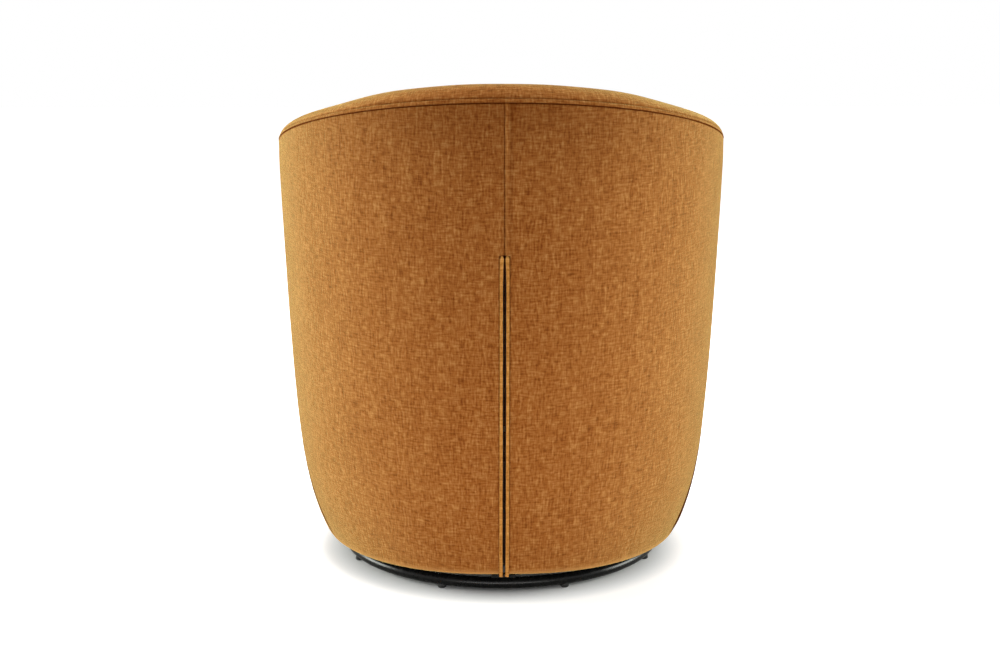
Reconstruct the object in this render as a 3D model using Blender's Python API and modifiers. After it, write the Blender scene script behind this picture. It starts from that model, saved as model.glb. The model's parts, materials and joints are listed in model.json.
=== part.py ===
"""A swivel tub armchair with a zipped back cover, on a round steel ring base.

Metres, +Z up. The chair faces -Y, so its zipped back is at +Y, and the origin is
on the floor under the swivel axis. Angles are measured from the back, and grow
towards +X, which is the sitter's left hand.
"""

import math

import bmesh
import bpy
import numpy as np
from mathutils import Matrix, Vector

# Gaps between neighbours
GAP = 0.0003
FACET_GAP = 0.0013
MERGE_DISTANCE = 0.00005

# The barrel that the covers follow
BARREL_RADIUS = 0.3541
BARREL_TAPER = 0.0639
BACK_TAPER = 0.0541
HEM_HEIGHT = 0.045
WIDEST_HEIGHT = 0.650
LONG_TAPER_SHARE = 0.493
LONG_TAPER_POWER = 1.213
SHORT_TAPER_POWER = 7.9
BACK_SEAM_HEIGHT = 0.767
SIDE_SEAM_HEIGHT = 0.667
ARM_ANGLE = math.radians(118.0)
SIDE_SEAM_ANGLE = math.radians(85.0)
COVER_THICKNESS = 0.0075
COVER_LOWER_ROWS = 8
COVER_ROW_POWER = 1.4
APRON_ROWS = 7
COLUMN_ANGLE = math.radians(6.0)

# The roll along the rim and the wall under it
WALL_THICKNESS = 0.089
RIM_RISE_BACK = 0.0343
RIM_RISE_SIDE = 0.0235
RIM_STEPS = 8
ARM_FRONT_STEPS = 10
ARM_FRONT_ROWS = 5
ARM_FRONT_DOME_ROWS = 4

# The zip down the back
ZIP_TOP = 0.546
ZIP_LIP_DROP = 0.004
ZIP_SECTIONS = 13
ZIP_NOTCH_STEP = 0.0003
ZIP_TAPE_SHORT = 0.004
LIP_INNER = 0.0020
LIP_WIDTH = 0.0053
LIP_PROUD = 0.0010
LIP_THICKNESS = 0.0030
CHAIN_WIDTH = 0.0015
CHAIN_HEIGHT = 0.0014
TAPE_INSET = 0.0003
TAPE_THICKNESS = 0.0008
SLIDER_LENGTH = 0.011
SLIDER_HALF_WIDTH = 0.0040
SLIDER_PLATE = 0.0010
SLIDER_HALF_WEB = 0.0004
SLIDER_PARK_HEIGHT = 0.053

# The ring base
RING_INSET = 0.0402
TUBE_RADIUS = 0.009
RING_SEGMENTS = 64
TUBE_SEGMENTS = 12
GLIDE_STAND = 0.0055
GLIDE_RADIUS = 0.008
GLIDE_HUG = 0.003
GLIDE_COUNT = 8
GLIDE_SIDES = 16
CROSS_THICKNESS = 0.005
CROSS_WIDTH = 0.036
CROSS_GUSSET = 0.040
CROSS_OVERHANG = 0.005
CROSS_HOLE_CLEARANCE = 0.0085

# The swivel bearing
PLATE_THICKNESS = 0.0025
LOWER_PLATE_RADIUS = 0.140
UPPER_PLATE_INSET = 0.006
PLATE_LIP_WALL = 0.0025
PLATE_LIP_HEIGHT = 0.0025
BALL_RADIUS = 0.00345
BALL_COUNT = 16
BALL_SEGMENTS = 8
BALL_RINGS = 6
CAGE_HALF_WIDTH = 0.006
CAGE_THICKNESS = 0.0026
CAGE_LIP_CLEARANCE = 0.0065
TURNED_STEPS = 48
PIVOT_RADIUS = 0.006
PIVOT_CLEARANCE = 0.0025
PIVOT_HEAD_OVERHANG = 0.0055
PIVOT_HEAD_HEIGHT = 0.0040
PIVOT_THREAD_SPARE = 0.002
BUSH_WALL = 0.005
WASHER_WIDTH = 0.007
WASHER_THICKNESS = 0.002
NUT_WALL = 0.0022
NUT_SIDES = 6
NUT_HEIGHT = 0.008
PLATE_BOLT_INSET = 0.035
PLATE_BOLT_COUNT = 4
PLATE_BOLT_RADIUS = 0.004
PLATE_BOLT_HEAD_OVERHANG = 0.0025
PLATE_BOLT_HEAD_HEIGHT = 0.003
PLATE_BOLT_DEPTH = 0.011
BOLT_SIDES = 12
PIVOT_SIDES = 24

# The wooden frame
BOARD_THICKNESS = 0.015
BOARD_INSET = 0.0015
BOARD_HOLE_CLEARANCE = 0.012
BOARD_SIDES = 64
DUST_COVER_THICKNESS = 0.001
DUST_COVER_CLEARANCE = 0.016
RIB_THICKNESS = 0.015
RIB_FOOT_WIDTH = 0.040
RIB_ROWS = 8
RIB_ANGLES = (math.radians(25.0), math.radians(72.0))
FRONT_RIB_ANGLE = math.radians(150.0)
RAIL_THICKNESS = 0.015
SEAT_FRAME_TOP = 0.277
SEAT_FRAME_THICKNESS = 0.015
SEAT_FRAME_WIDTH = 0.070
SEAT_FRAME_BACK_ANGLE = math.radians(35.0)
PAD_BEARING = 0.006
STRAP_COUNT = 4
STRAP_WIDTH = 0.060
STRAP_THICKNESS = 0.002
STRAP_END_MARGIN = 0.006

# The inner pads and the seat cushion
PAD_THICKNESS = 0.0318
PAD_CROWN = 0.010
PAD_ROWS = 8
PAD_EDGE_POWER = 6
BACK_PAD_ANGLE = math.radians(58.0)
CUSHION_TOP = 0.456
CUSHION_SIDE_GAP = 0.0006
CUSHION_FRONT_GAP = 0.002
EAR_ROUND_ANGLE = math.radians(7.0)
CUSHION_COLUMNS = (10, 6, 6, 8)

# Spread from the middle, height, and how much of the T outline is left
CUSHION_SECTION_SHARES = (
    (0.940, 0.00, 1.00),
    (0.975, 0.07, 1.00),
    (0.995, 0.22, 1.00),
    (1.000, 0.42, 1.00),
    (0.992, 0.62, 1.00),
    (0.968, 0.76, 1.00),
    (0.915, 0.86, 1.00),
    (0.800, 0.935, 0.85),
    (0.570, 0.980, 0.50),
    (0.285, 0.997, 0.10),
)

# Sizes that follow from those above
INNER_RADIUS = BARREL_RADIUS - WALL_THICKNESS
HEM_RADIUS = BARREL_RADIUS - BARREL_TAPER
BARREL_FLARE_HEIGHT = WIDEST_HEIGHT - HEM_HEIGHT
BACK_ARC_RADIUS = (BARREL_FLARE_HEIGHT**2 + BACK_TAPER**2) / (2 * BACK_TAPER)
BACK_ARC_CENTRE = BARREL_RADIUS - BACK_ARC_RADIUS
SEAM_SLOPE = (BACK_SEAM_HEIGHT - SIDE_SEAM_HEIGHT) / BARREL_RADIUS
RING_RADIUS = HEM_RADIUS - RING_INSET
RING_CENTRE_HEIGHT = GLIDE_STAND + TUBE_RADIUS
CROSS_BOTTOM = GLIDE_STAND + 2 * TUBE_RADIUS + GAP
CROSS_TOP = CROSS_BOTTOM + CROSS_THICKNESS
LOWER_PLATE_BOTTOM = CROSS_TOP + GAP
LOWER_PLATE_TOP = LOWER_PLATE_BOTTOM + PLATE_THICKNESS
BALL_CENTRE_HEIGHT = LOWER_PLATE_TOP + GAP + BALL_RADIUS
UPPER_PLATE_BOTTOM = BALL_CENTRE_HEIGHT + BALL_RADIUS + GAP
UPPER_PLATE_TOP = UPPER_PLATE_BOTTOM + PLATE_THICKNESS
BOARD_BOTTOM = UPPER_PLATE_TOP + GAP
BOARD_TOP = BOARD_BOTTOM + BOARD_THICKNESS
BOARD_RADIUS = HEM_RADIUS - COVER_THICKNESS - BOARD_INSET
UPPER_PLATE_RADIUS = LOWER_PLATE_RADIUS - UPPER_PLATE_INSET
CAGE_OUTER = LOWER_PLATE_RADIUS - PLATE_LIP_WALL - CAGE_LIP_CLEARANCE
BALL_CIRCLE_RADIUS = CAGE_OUTER - CAGE_HALF_WIDTH
CAGE_INNER = BALL_CIRCLE_RADIUS - CAGE_HALF_WIDTH
PLATE_BOLT_CIRCLE_RADIUS = BALL_CIRCLE_RADIUS - PLATE_BOLT_INSET
PLATE_BOLT_HOLE_RADIUS = PLATE_BOLT_RADIUS + FACET_GAP
PIVOT_HOLE_RADIUS = PIVOT_RADIUS + PIVOT_CLEARANCE
PIVOT_BORE = PIVOT_RADIUS + FACET_GAP
PIVOT_HEAD_RADIUS = PIVOT_RADIUS + PIVOT_HEAD_OVERHANG
WASHER_RADIUS = PIVOT_BORE + WASHER_WIDTH
CROSS_HOLE_RADIUS = PIVOT_HEAD_RADIUS + CROSS_HOLE_CLEARANCE
BOARD_HOLE_RADIUS = WASHER_RADIUS + BOARD_HOLE_CLEARANCE
SEAT_FRAME_BOTTOM = SEAT_FRAME_TOP - SEAT_FRAME_THICKNESS
SEAT_FRAME_OUTER = INNER_RADIUS + PAD_BEARING
SEAT_FRAME_INNER = SEAT_FRAME_OUTER - SEAT_FRAME_WIDTH
PAD_BACK_RADIUS = INNER_RADIUS + PAD_THICKNESS
PAD_BOTTOM = SEAT_FRAME_TOP + GAP
CUSHION_BOTTOM = SEAT_FRAME_TOP + GAP + STRAP_THICKNESS + GAP
CUSHION_SIDE = INNER_RADIUS - PAD_CROWN - CUSHION_SIDE_GAP
LIP_OUTER = LIP_INNER + LIP_WIDTH
ZIP_HALF_WIDTH = LIP_OUTER + GAP
CHAIN_SLOT = SLIDER_HALF_WEB + GAP
LIP_BACK = LIP_PROUD - LIP_THICKNESS
SLIDER_FACE = LIP_BACK - GAP
CHAIN_FACE = SLIDER_FACE - SLIDER_PLATE - GAP
TAPE_FACE = CHAIN_FACE - CHAIN_HEIGHT
TAPE_BACK = TAPE_FACE - TAPE_THICKNESS
SLIDER_BACK = TAPE_BACK - GAP - SLIDER_PLATE

HANDS = ((1, "left"), (-1, "right"))

# Colour, roughness and metallic value of each finish
FINISHES = {
    "chenille": ((0.43, 0.16, 0.03, 1.0), 0.90, 0.0),
    "gloss_black": ((0.010, 0.010, 0.011, 1.0), 0.20, 0.0),
    "zinc": ((0.62, 0.62, 0.60, 1.0), 0.35, 1.0),
    "black_plastic": ((0.015, 0.015, 0.015, 1.0), 0.55, 0.0),
    "white_plastic": ((0.75, 0.75, 0.72, 1.0), 0.45, 0.0),
    "plywood": ((0.58, 0.40, 0.22, 1.0), 0.65, 0.0),
    "webbing": ((0.05, 0.05, 0.05, 1.0), 0.85, 0.0),
    "dust_cloth": ((0.02, 0.02, 0.02, 1.0), 0.95, 0.0),
    "zip_tape": ((0.012, 0.010, 0.010, 1.0), 0.80, 0.0),
}


# Scene and object helpers


def clear_scene():
    """Remove every object of the scene that the script starts in."""
    for obj in list(bpy.data.objects):
        bpy.data.objects.remove(obj, do_unlink=True)


def new_collection(name):
    """Return a new collection linked to the scene."""
    collection = bpy.data.collections.new(name)
    bpy.context.scene.collection.children.link(collection)
    return collection


def new_material(name, finish):
    """Return a Principled BSDF material of one of the named finishes."""
    colour, roughness, metallic = FINISHES[finish]
    material = bpy.data.materials.new(name)
    material.use_nodes = True
    shader = material.node_tree.nodes["Principled BSDF"]
    shader.inputs["Base Color"].default_value = colour
    shader.inputs["Roughness"].default_value = roughness
    shader.inputs["Metallic"].default_value = metallic
    material.diffuse_color = colour
    return material


def add_part(name, data, finish, parent=None):
    """Add a sub-part with its own material to the chair's collection."""
    obj = bpy.data.objects.new(name, data)
    PARTS.objects.link(obj)
    data.materials.append(new_material(name, finish))
    obj.parent = parent
    return obj


def add_cutter(name, data):
    """Add a body that only cuts others, shown as wire and never rendered."""
    obj = bpy.data.objects.new(name, data)
    CUTTERS.objects.link(obj)
    obj.hide_render = True
    obj.display_type = "WIRE"
    return obj


def add_empty(name, location):
    """Add the empty that stands on a joint's axis."""
    empty = bpy.data.objects.new(name, None)
    PARTS.objects.link(empty)
    empty.location = location
    return empty


def cut(obj, cutter, operation="DIFFERENCE"):
    """Cut one body out of another, or join it on, with a Boolean modifier."""
    modifier = obj.modifiers.new(cutter.name, "BOOLEAN")
    modifier.operation = operation
    modifier.solver = "EXACT"
    modifier.object = cutter


def smooth(mesh, angle=math.radians(35.0)):
    """Shade a mesh smooth, apart from its real edges."""
    mesh.shade_smooth()
    mesh.set_sharp_from_angle(angle=angle)


# Shapes


def mesh_from(name, build):
    """Return a mesh that the function build fills through a bmesh."""
    bm = bmesh.new()
    build(bm)
    bmesh.ops.recalc_face_normals(bm, faces=bm.faces)
    mesh = bpy.data.meshes.new(name)
    bm.to_mesh(mesh)
    bm.free()
    smooth(mesh)
    return mesh


def cylinder_mesh(name, radius, height, sides, bottom=0.0):
    """Return an upright cylinder that stands at the height bottom."""

    def build(bm):
        bmesh.ops.create_cone(
            bm,
            cap_ends=True,
            segments=sides,
            radius1=radius,
            radius2=radius,
            depth=height,
            matrix=Matrix.Translation((0.0, 0.0, bottom + height / 2)),
        )

    return mesh_from(name, build)


def loft_mesh(name, sections):
    """Return the closed skin through sections of equal length, with flat ends.

    A last section of one point closes the skin in a pole.
    """

    def build(bm):
        rings = [[bm.verts.new(point) for point in section] for section in sections]
        bm.faces.new(rings[0])
        for ring, following in zip(rings, rings[1:]):
            count = len(ring)
            for index in range(count):
                beside = (index + 1) % count
                if len(following) == 1:
                    bm.faces.new((ring[index], ring[beside], following[0]))
                else:
                    corners = (ring[index], ring[beside], following[beside], following[index])
                    bm.faces.new(corners)
        if len(rings[-1]) > 1:
            bm.faces.new(rings[-1])

    return mesh_from(name, build)


def turned_part(name, profile, finish, parent, steps=TURNED_STEPS):
    """Turn an outline of radius and height, which runs down its outer side.

    An outline that starts on the axis also ends there, and makes a solid piece.
    Any other outline is closed, and makes a ring.
    """
    points = [(radius, 0.0, height) for radius, height in profile]
    edges = [(index, index + 1) for index in range(len(profile) - 1)]
    if profile[0][0] > 0.0:
        edges.append((len(profile) - 1, 0))
    mesh = bpy.data.meshes.new(name)
    mesh.from_pydata(points, edges, [])
    obj = add_part(name, mesh, finish, parent)
    screw = obj.modifiers.new("Turn", "SCREW")
    screw.axis = "Z"
    screw.angle = math.tau
    screw.steps = steps
    screw.render_steps = steps
    screw.use_merge_vertices = True
    screw.merge_threshold = MERGE_DISTANCE
    screw.use_smooth_shade = False
    return obj


def flat_part(name, outlines, bottom, thickness, finish, parent):
    """Add a flat plate: its first outline is the edge, the others are holes."""
    curve = bpy.data.curves.new(name, "CURVE")
    curve.dimensions = "2D"
    curve.fill_mode = "BOTH"
    curve.extrude = thickness / 2
    for outline in outlines:
        spline = curve.splines.new("POLY")
        spline.points.add(len(outline) - 1)
        for point, (x, y) in zip(spline.points, outline):
            point.co = (x, y, 0.0, 1.0)
        spline.use_cyclic_u = True
    obj = add_part(name, curve, finish, parent)
    obj.location = (0.0, 0.0, bottom + thickness / 2)
    return obj


def circle(radius, count, centre=(0.0, 0.0), start=0.0):
    """Return points spread evenly on a circle, from the angle start."""
    angles = [start + index * math.tau / count for index in range(count)]
    return [
        (centre[0] + radius * math.sin(angle), centre[1] + radius * math.cos(angle))
        for angle in angles
    ]


def turned(point, angle):
    """Return a flat point turned about the upright axis."""
    x, y = point
    return (
        x * math.cos(angle) + y * math.sin(angle),
        y * math.cos(angle) - x * math.sin(angle),
    )


def columns_between(start, end):
    """Return the angles of even columns about one column angle apart."""
    count = max(2, math.ceil(abs(end - start) / COLUMN_ANGLE))
    return np.linspace(start, end, count + 1)


def sector(inner, outer, start, end):
    """Return the outline of a flat arc between two radii and two angles."""
    angles = columns_between(start, end)
    rim = [(outer * math.sin(angle), outer * math.cos(angle)) for angle in angles]
    bore = [(inner * math.sin(angle), inner * math.cos(angle)) for angle in angles]
    return rim + bore[::-1]


def around(radius, angle, height):
    """Return the point at a radius and an angle from the back."""
    return Vector((radius * math.sin(angle), radius * math.cos(angle), height))


def gap_angle(radius):
    """Return the angle that the gap between neighbours takes at a radius."""
    return GAP / radius


# The forms that the soft pieces share


def barrel_radius(angle, height):
    """Return the outer radius of the covers.

    The sides flare by two powers of what is left of the height. The centre of
    the back is one arc, on which the zip lies.
    """
    left_share = 1.0 - min(max((height - HEM_HEIGHT) / BARREL_FLARE_HEIGHT, 0.0), 1.0)
    long_part = LONG_TAPER_SHARE * left_share**LONG_TAPER_POWER
    short_part = (1.0 - LONG_TAPER_SHARE) * left_share**SHORT_TAPER_POWER
    side_taper = (long_part + short_part) * BARREL_TAPER
    drop = max(WIDEST_HEIGHT - height, 0.0)
    back_taper = BACK_ARC_RADIUS - math.sqrt(BACK_ARC_RADIUS**2 - drop**2)
    back_share = max(math.cos(angle), 0.0) ** 2
    return BARREL_RADIUS - (1.0 - back_share) * side_taper - back_share * back_taper


def seam_plane(y):
    """Return the height of the sloping plane that the rim roll lies on."""
    return SIDE_SEAM_HEIGHT + SEAM_SLOPE * y


def seam_height(radius, angle):
    """Return the height of the rim's plane at a radius and an angle."""
    return seam_plane(radius * math.cos(angle))


def rim_corner(angle):
    """Return the radius and the height where the covers meet the rim's plane."""
    radius = BARREL_RADIUS
    for _ in range(4):
        radius = barrel_radius(angle, seam_height(radius, angle))
    return radius, seam_height(radius, angle)


def rim_rise(angle):
    """Return how far the roll stands above its plane, most at the back."""
    return RIM_RISE_SIDE + (RIM_RISE_BACK - RIM_RISE_SIDE) * max(math.cos(angle), 0.0)


def inside_cover(angle, height):
    """Return the radius that fits inside the covers."""
    return barrel_radius(angle, height) - COVER_THICKNESS - FACET_GAP


def crowded_shares(rows):
    """Return height shares of a cover's rows, closer together near the hem."""
    return [(row / rows) ** COVER_ROW_POWER for row in range(rows + 1)]


def cover_rows():
    """Return height shares of the rows of a cover that ends at the rim."""
    reach = BACK_SEAM_HEIGHT - GAP - HEM_HEIGHT
    zip_share = (ZIP_TOP - HEM_HEIGHT) / reach
    lower = [zip_share * share for share in crowded_shares(COVER_LOWER_ROWS)[:-1]]
    notch_share = zip_share - ZIP_NOTCH_STEP / reach
    return lower + [notch_share, zip_share, (zip_share + 1.0) / 2, 1.0]


def shell_mesh(name, outside, inside):
    """Return the closed skin between two grids of points of the same shape."""
    columns, rows = len(outside), len(outside[0])
    edge = [(column, 0) for column in range(columns)]
    edge += [(columns - 1, row) for row in range(1, rows)]
    edge += [(column, rows - 1) for column in range(columns - 2, -1, -1)]
    edge += [(0, row) for row in range(rows - 2, 0, -1)]

    def skin(bm, grid):
        columns_of_verts = [[bm.verts.new(point) for point in column] for column in grid]
        for left, right in zip(columns_of_verts, columns_of_verts[1:]):
            for row in range(rows - 1):
                bm.faces.new((left[row], right[row], right[row + 1], left[row + 1]))
        return [columns_of_verts[column][row] for column, row in edge]

    def build(bm):
        near, far = skin(bm, outside), skin(bm, inside)
        for index in range(len(edge)):
            before = index - 1
            bm.faces.new((near[before], near[index], far[index], far[before]))

    return mesh_from(name, build)


def cover_part(name, hand, start_of, end, top_of, rows):
    """Add a cover: a bent sheet between two angles, as thick as its padding.

    start_of gives the first edge's angle at a height, and top_of the height of
    the upper edge at a radius and an angle.
    """
    outside, inside = [], []
    first = start_of(HEM_HEIGHT)
    for middle in columns_between(first, end):
        column_share = (middle - first) / (end - first)
        top_radius, _ = rim_corner(middle)
        outer_column, inner_column = [], []
        for row_share in rows:
            outer_top = top_of(top_radius, middle)
            inner_top = top_of(top_radius - COVER_THICKNESS, middle)
            height = HEM_HEIGHT + row_share * (outer_top - HEM_HEIGHT)
            inner_height = min(height, inner_top)
            start = start_of(height)
            angle = start + column_share * (end - start)
            radius = barrel_radius(angle, height)
            outer_column.append(around(radius, hand * angle, height))
            inner_column.append(around(radius - COVER_THICKNESS, hand * angle, inner_height))
        outside.append(outer_column)
        inside.append(inner_column)
    add_part(name, shell_mesh(name, outside, inside), "chenille", SEAT)


# Base


def torus_mesh(name, tube_radius):
    """Return a torus as wide as the base ring, about the origin."""
    bpy.ops.mesh.primitive_torus_add(
        major_segments=RING_SEGMENTS,
        minor_segments=TUBE_SEGMENTS,
        major_radius=RING_RADIUS,
        minor_radius=tube_radius,
    )
    primitive = bpy.context.object
    mesh = primitive.data
    bpy.data.objects.remove(primitive, do_unlink=True)
    mesh.name = name
    smooth(mesh)
    return mesh


def build_base_ring():
    """Add the bent tube ring, and return the cutter that seats the glides."""
    ring = add_part("base_ring", torus_mesh("base_ring", TUBE_RADIUS), "gloss_black", BASE)
    seat = add_cutter("glide_seat", torus_mesh("glide_seat", TUBE_RADIUS + GAP))
    for obj in (ring, seat):
        obj.location = (0.0, 0.0, RING_CENTRE_HEIGHT)
    return seat


def build_glides(seat_cutter):
    """Add the floor glides, each hollowed on top to hug the tube."""
    height = GLIDE_STAND + GLIDE_HUG
    for index in range(GLIDE_COUNT):
        name = f"floor_glide_{index + 1}"
        mesh = cylinder_mesh(name, GLIDE_RADIUS, height, GLIDE_SIDES)
        glide = add_part(name, mesh, "black_plastic", BASE)
        angle = (index + 0.5) * math.tau / GLIDE_COUNT
        glide.location = around(RING_RADIUS, angle, 0.0)
        cut(glide, seat_cutter)


def build_base_cross():
    """Add the cross of flat bars that is welded on the ring."""
    half = CROSS_WIDTH / 2
    reach = RING_RADIUS + CROSS_OVERHANG
    web = half + CROSS_GUSSET
    arm = ((-half, reach), (half, reach), (half, web), (web, half))
    quarters = [quarter * math.pi / 2 for quarter in range(4)]
    outline = [turned(point, angle) for angle in quarters for point in arm]
    hole = circle(CROSS_HOLE_RADIUS, PIVOT_SIDES)
    flat_part("base_cross", [outline, hole], CROSS_BOTTOM, CROSS_THICKNESS, "gloss_black", BASE)


# Swivel bearing


def build_bearing():
    """Add the two plates and the ball cage between them."""
    lip_top = LOWER_PLATE_TOP + PLATE_LIP_HEIGHT
    lip_inner = LOWER_PLATE_RADIUS - PLATE_LIP_WALL
    lower_profile = (
        (LOWER_PLATE_RADIUS, lip_top),
        (LOWER_PLATE_RADIUS, LOWER_PLATE_BOTTOM),
        (PIVOT_HOLE_RADIUS, LOWER_PLATE_BOTTOM),
        (PIVOT_HOLE_RADIUS, LOWER_PLATE_TOP),
        (lip_inner, LOWER_PLATE_TOP),
        (lip_inner, lip_top),
    )
    turned_part("lower_bearing_plate", lower_profile, "zinc", BASE)

    upper = [circle(UPPER_PLATE_RADIUS, TURNED_STEPS), circle(PIVOT_HOLE_RADIUS, BOLT_SIDES)]
    upper += plate_bolt_holes()
    flat_part("upper_bearing_plate", upper, UPPER_PLATE_BOTTOM, PLATE_THICKNESS, "zinc", SEAT)

    half = CAGE_THICKNESS / 2
    cage_profile = (
        (CAGE_OUTER, BALL_CENTRE_HEIGHT + half),
        (CAGE_OUTER, BALL_CENTRE_HEIGHT - half),
        (CAGE_INNER, BALL_CENTRE_HEIGHT - half),
        (CAGE_INNER, BALL_CENTRE_HEIGHT + half),
    )
    cage = turned_part("ball_cage", cage_profile, "white_plastic", CAGE)

    def balls(bm):
        for x, y in circle(BALL_CIRCLE_RADIUS, BALL_COUNT):
            bmesh.ops.create_uvsphere(
                bm,
                u_segments=BALL_SEGMENTS,
                v_segments=BALL_RINGS,
                radius=BALL_RADIUS,
                matrix=Matrix.Translation((x, y, BALL_CENTRE_HEIGHT)),
            )

    cut(cage, add_cutter("cage_balls", mesh_from("cage_balls", balls)), "UNION")


def bolt_centres():
    """Return the places of the bolts that hold the upper plate to the board."""
    half_step = math.pi / PLATE_BOLT_COUNT
    return circle(PLATE_BOLT_CIRCLE_RADIUS, PLATE_BOLT_COUNT, start=half_step)


def plate_bolt_holes():
    """Return the outlines of the holes that those bolts go through."""
    return [circle(PLATE_BOLT_HOLE_RADIUS, BOLT_SIDES, centre) for centre in bolt_centres()]


def build_pivot():
    """Add the pivot bolt with its bush, washer and nut."""
    head_top = CROSS_TOP
    washer_bottom = UPPER_PLATE_TOP + GAP
    nut_bottom = washer_bottom + WASHER_THICKNESS + GAP
    shank_top = nut_bottom + NUT_HEIGHT + PIVOT_THREAD_SPARE
    profile = (
        (0.0, shank_top),
        (PIVOT_RADIUS, shank_top),
        (PIVOT_RADIUS, head_top),
        (PIVOT_HEAD_RADIUS, head_top),
        (PIVOT_HEAD_RADIUS, head_top - PIVOT_HEAD_HEIGHT),
        (0.0, head_top - PIVOT_HEAD_HEIGHT),
    )
    turned_part("pivot_bolt", profile, "zinc", BASE, PIVOT_SIDES)
    bore = circle(PIVOT_BORE, PIVOT_SIDES)
    bush = [circle(PIVOT_BORE + BUSH_WALL, PIVOT_SIDES), bore]
    bush_bottom = LOWER_PLATE_TOP + GAP
    bush_height = UPPER_PLATE_BOTTOM - GAP - bush_bottom
    flat_part("pivot_bush", bush, bush_bottom, bush_height, "white_plastic", BASE)
    washer = [circle(WASHER_RADIUS, PIVOT_SIDES), bore]
    flat_part("pivot_washer", washer, washer_bottom, WASHER_THICKNESS, "zinc", BASE)
    nut_corner = (PIVOT_BORE + NUT_WALL) / math.cos(math.pi / NUT_SIDES)
    nut = [circle(nut_corner, NUT_SIDES), bore]
    flat_part("pivot_nut", nut, nut_bottom, NUT_HEIGHT, "zinc", BASE)


def build_plate_bolts():
    """Add the bolts that go up through the upper plate into the board."""
    tip = BOARD_BOTTOM + PLATE_BOLT_DEPTH
    head_top = UPPER_PLATE_BOTTOM - GAP
    head_bottom = head_top - PLATE_BOLT_HEAD_HEIGHT
    head_radius = PLATE_BOLT_RADIUS + PLATE_BOLT_HEAD_OVERHANG
    profile = (
        (0.0, tip),
        (PLATE_BOLT_RADIUS, tip),
        (PLATE_BOLT_RADIUS, head_top),
        (head_radius, head_top),
        (head_radius, head_bottom),
        (0.0, head_bottom),
    )
    for index, (x, y) in enumerate(bolt_centres()):
        bolt = turned_part(f"plate_bolt_{index + 1}", profile, "zinc", SEAT, BOLT_SIDES)
        bolt.location = (x, y, 0.0)


# Wooden frame


def build_board():
    """Add the round board on the bearing, and the dust cover under it."""
    rim = circle(BOARD_RADIUS, BOARD_SIDES)
    board = [rim, circle(BOARD_HOLE_RADIUS, PIVOT_SIDES)] + plate_bolt_holes()
    flat_part("base_board", board, BOARD_BOTTOM, BOARD_THICKNESS, "plywood", SEAT)
    cloth = [rim, circle(UPPER_PLATE_RADIUS + DUST_COVER_CLEARANCE, TURNED_STEPS)]
    cloth_bottom = BOARD_BOTTOM - GAP - DUST_COVER_THICKNESS
    flat_part("dust_cover", cloth, cloth_bottom, DUST_COVER_THICKNESS, "dust_cloth", SEAT)


def rib_part(name, outline, angle):
    """Add an upright board whose outline is in radius and height."""
    rib = flat_part(name, [outline], -RIB_THICKNESS / 2, RIB_THICKNESS, "plywood", SEAT)
    outward = around(1.0, angle, 0.0)
    upward = Vector((0.0, 0.0, 1.0))
    across = outward.cross(upward)
    rib.matrix_local = Matrix((outward, upward, across)).transposed().to_4x4()
    return rib


def rib_outer_edge(angle, bottom, top):
    """Return the points of a rib's outer edge, from the top down."""
    return [
        (inside_cover(angle, height), height)
        for height in np.linspace(top, bottom, RIB_ROWS)
    ]


def under_top_rail(radius, angle):
    """Return the height just under the top rail at a rib's lower face."""
    y = radius * math.cos(angle) - RIB_THICKNESS / 2 * math.sin(angle)
    return seam_plane(y) - RAIL_THICKNESS - 3 * GAP


def last_rib_angle():
    """Return the angle of the rib behind an arm front, clear of its end plane."""
    reach = SEAT_FRAME_OUTER + GAP
    return ARM_ANGLE - math.asin((RIB_THICKNESS / 2 + GAP) / reach)


def build_tall_ribs():
    """Add the ribs of the back and the arms, stepped where the pads sit."""
    bottom = BOARD_TOP + GAP
    for hand, side in HANDS:
        angles = RIB_ANGLES + (last_rib_angle(),)
        for index, angle in enumerate(angles):
            foot = inside_cover(angle, bottom) - RIB_FOOT_WIDTH
            seat_radius = SEAT_FRAME_OUTER + FACET_GAP
            pad_radius = PAD_BACK_RADIUS + FACET_GAP
            inner_edge = [
                (foot, bottom),
                (seat_radius, SEAT_FRAME_BOTTOM),
                (seat_radius, SEAT_FRAME_TOP),
                (pad_radius, SEAT_FRAME_TOP),
                (pad_radius, under_top_rail(pad_radius, angle)),
            ]
            top_radius = inside_cover(angle, WIDEST_HEIGHT)
            top = under_top_rail(top_radius, angle)
            outline = rib_outer_edge(angle, bottom, top) + inner_edge
            rib_part(f"frame_rib_{side}_{index + 1}", outline, hand * angle)


def build_front_ribs():
    """Add the short ribs that carry the front rail."""
    bottom = BOARD_TOP + GAP
    top = SEAT_FRAME_BOTTOM - GAP
    foot = inside_cover(FRONT_RIB_ANGLE, bottom) - RIB_FOOT_WIDTH
    outline = rib_outer_edge(FRONT_RIB_ANGLE, bottom, top)
    outline += [(foot, bottom), (SEAT_FRAME_OUTER, top)]
    for hand, side in HANDS:
        rib_part(f"front_rib_{side}", outline, hand * FRONT_RIB_ANGLE)


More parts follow.
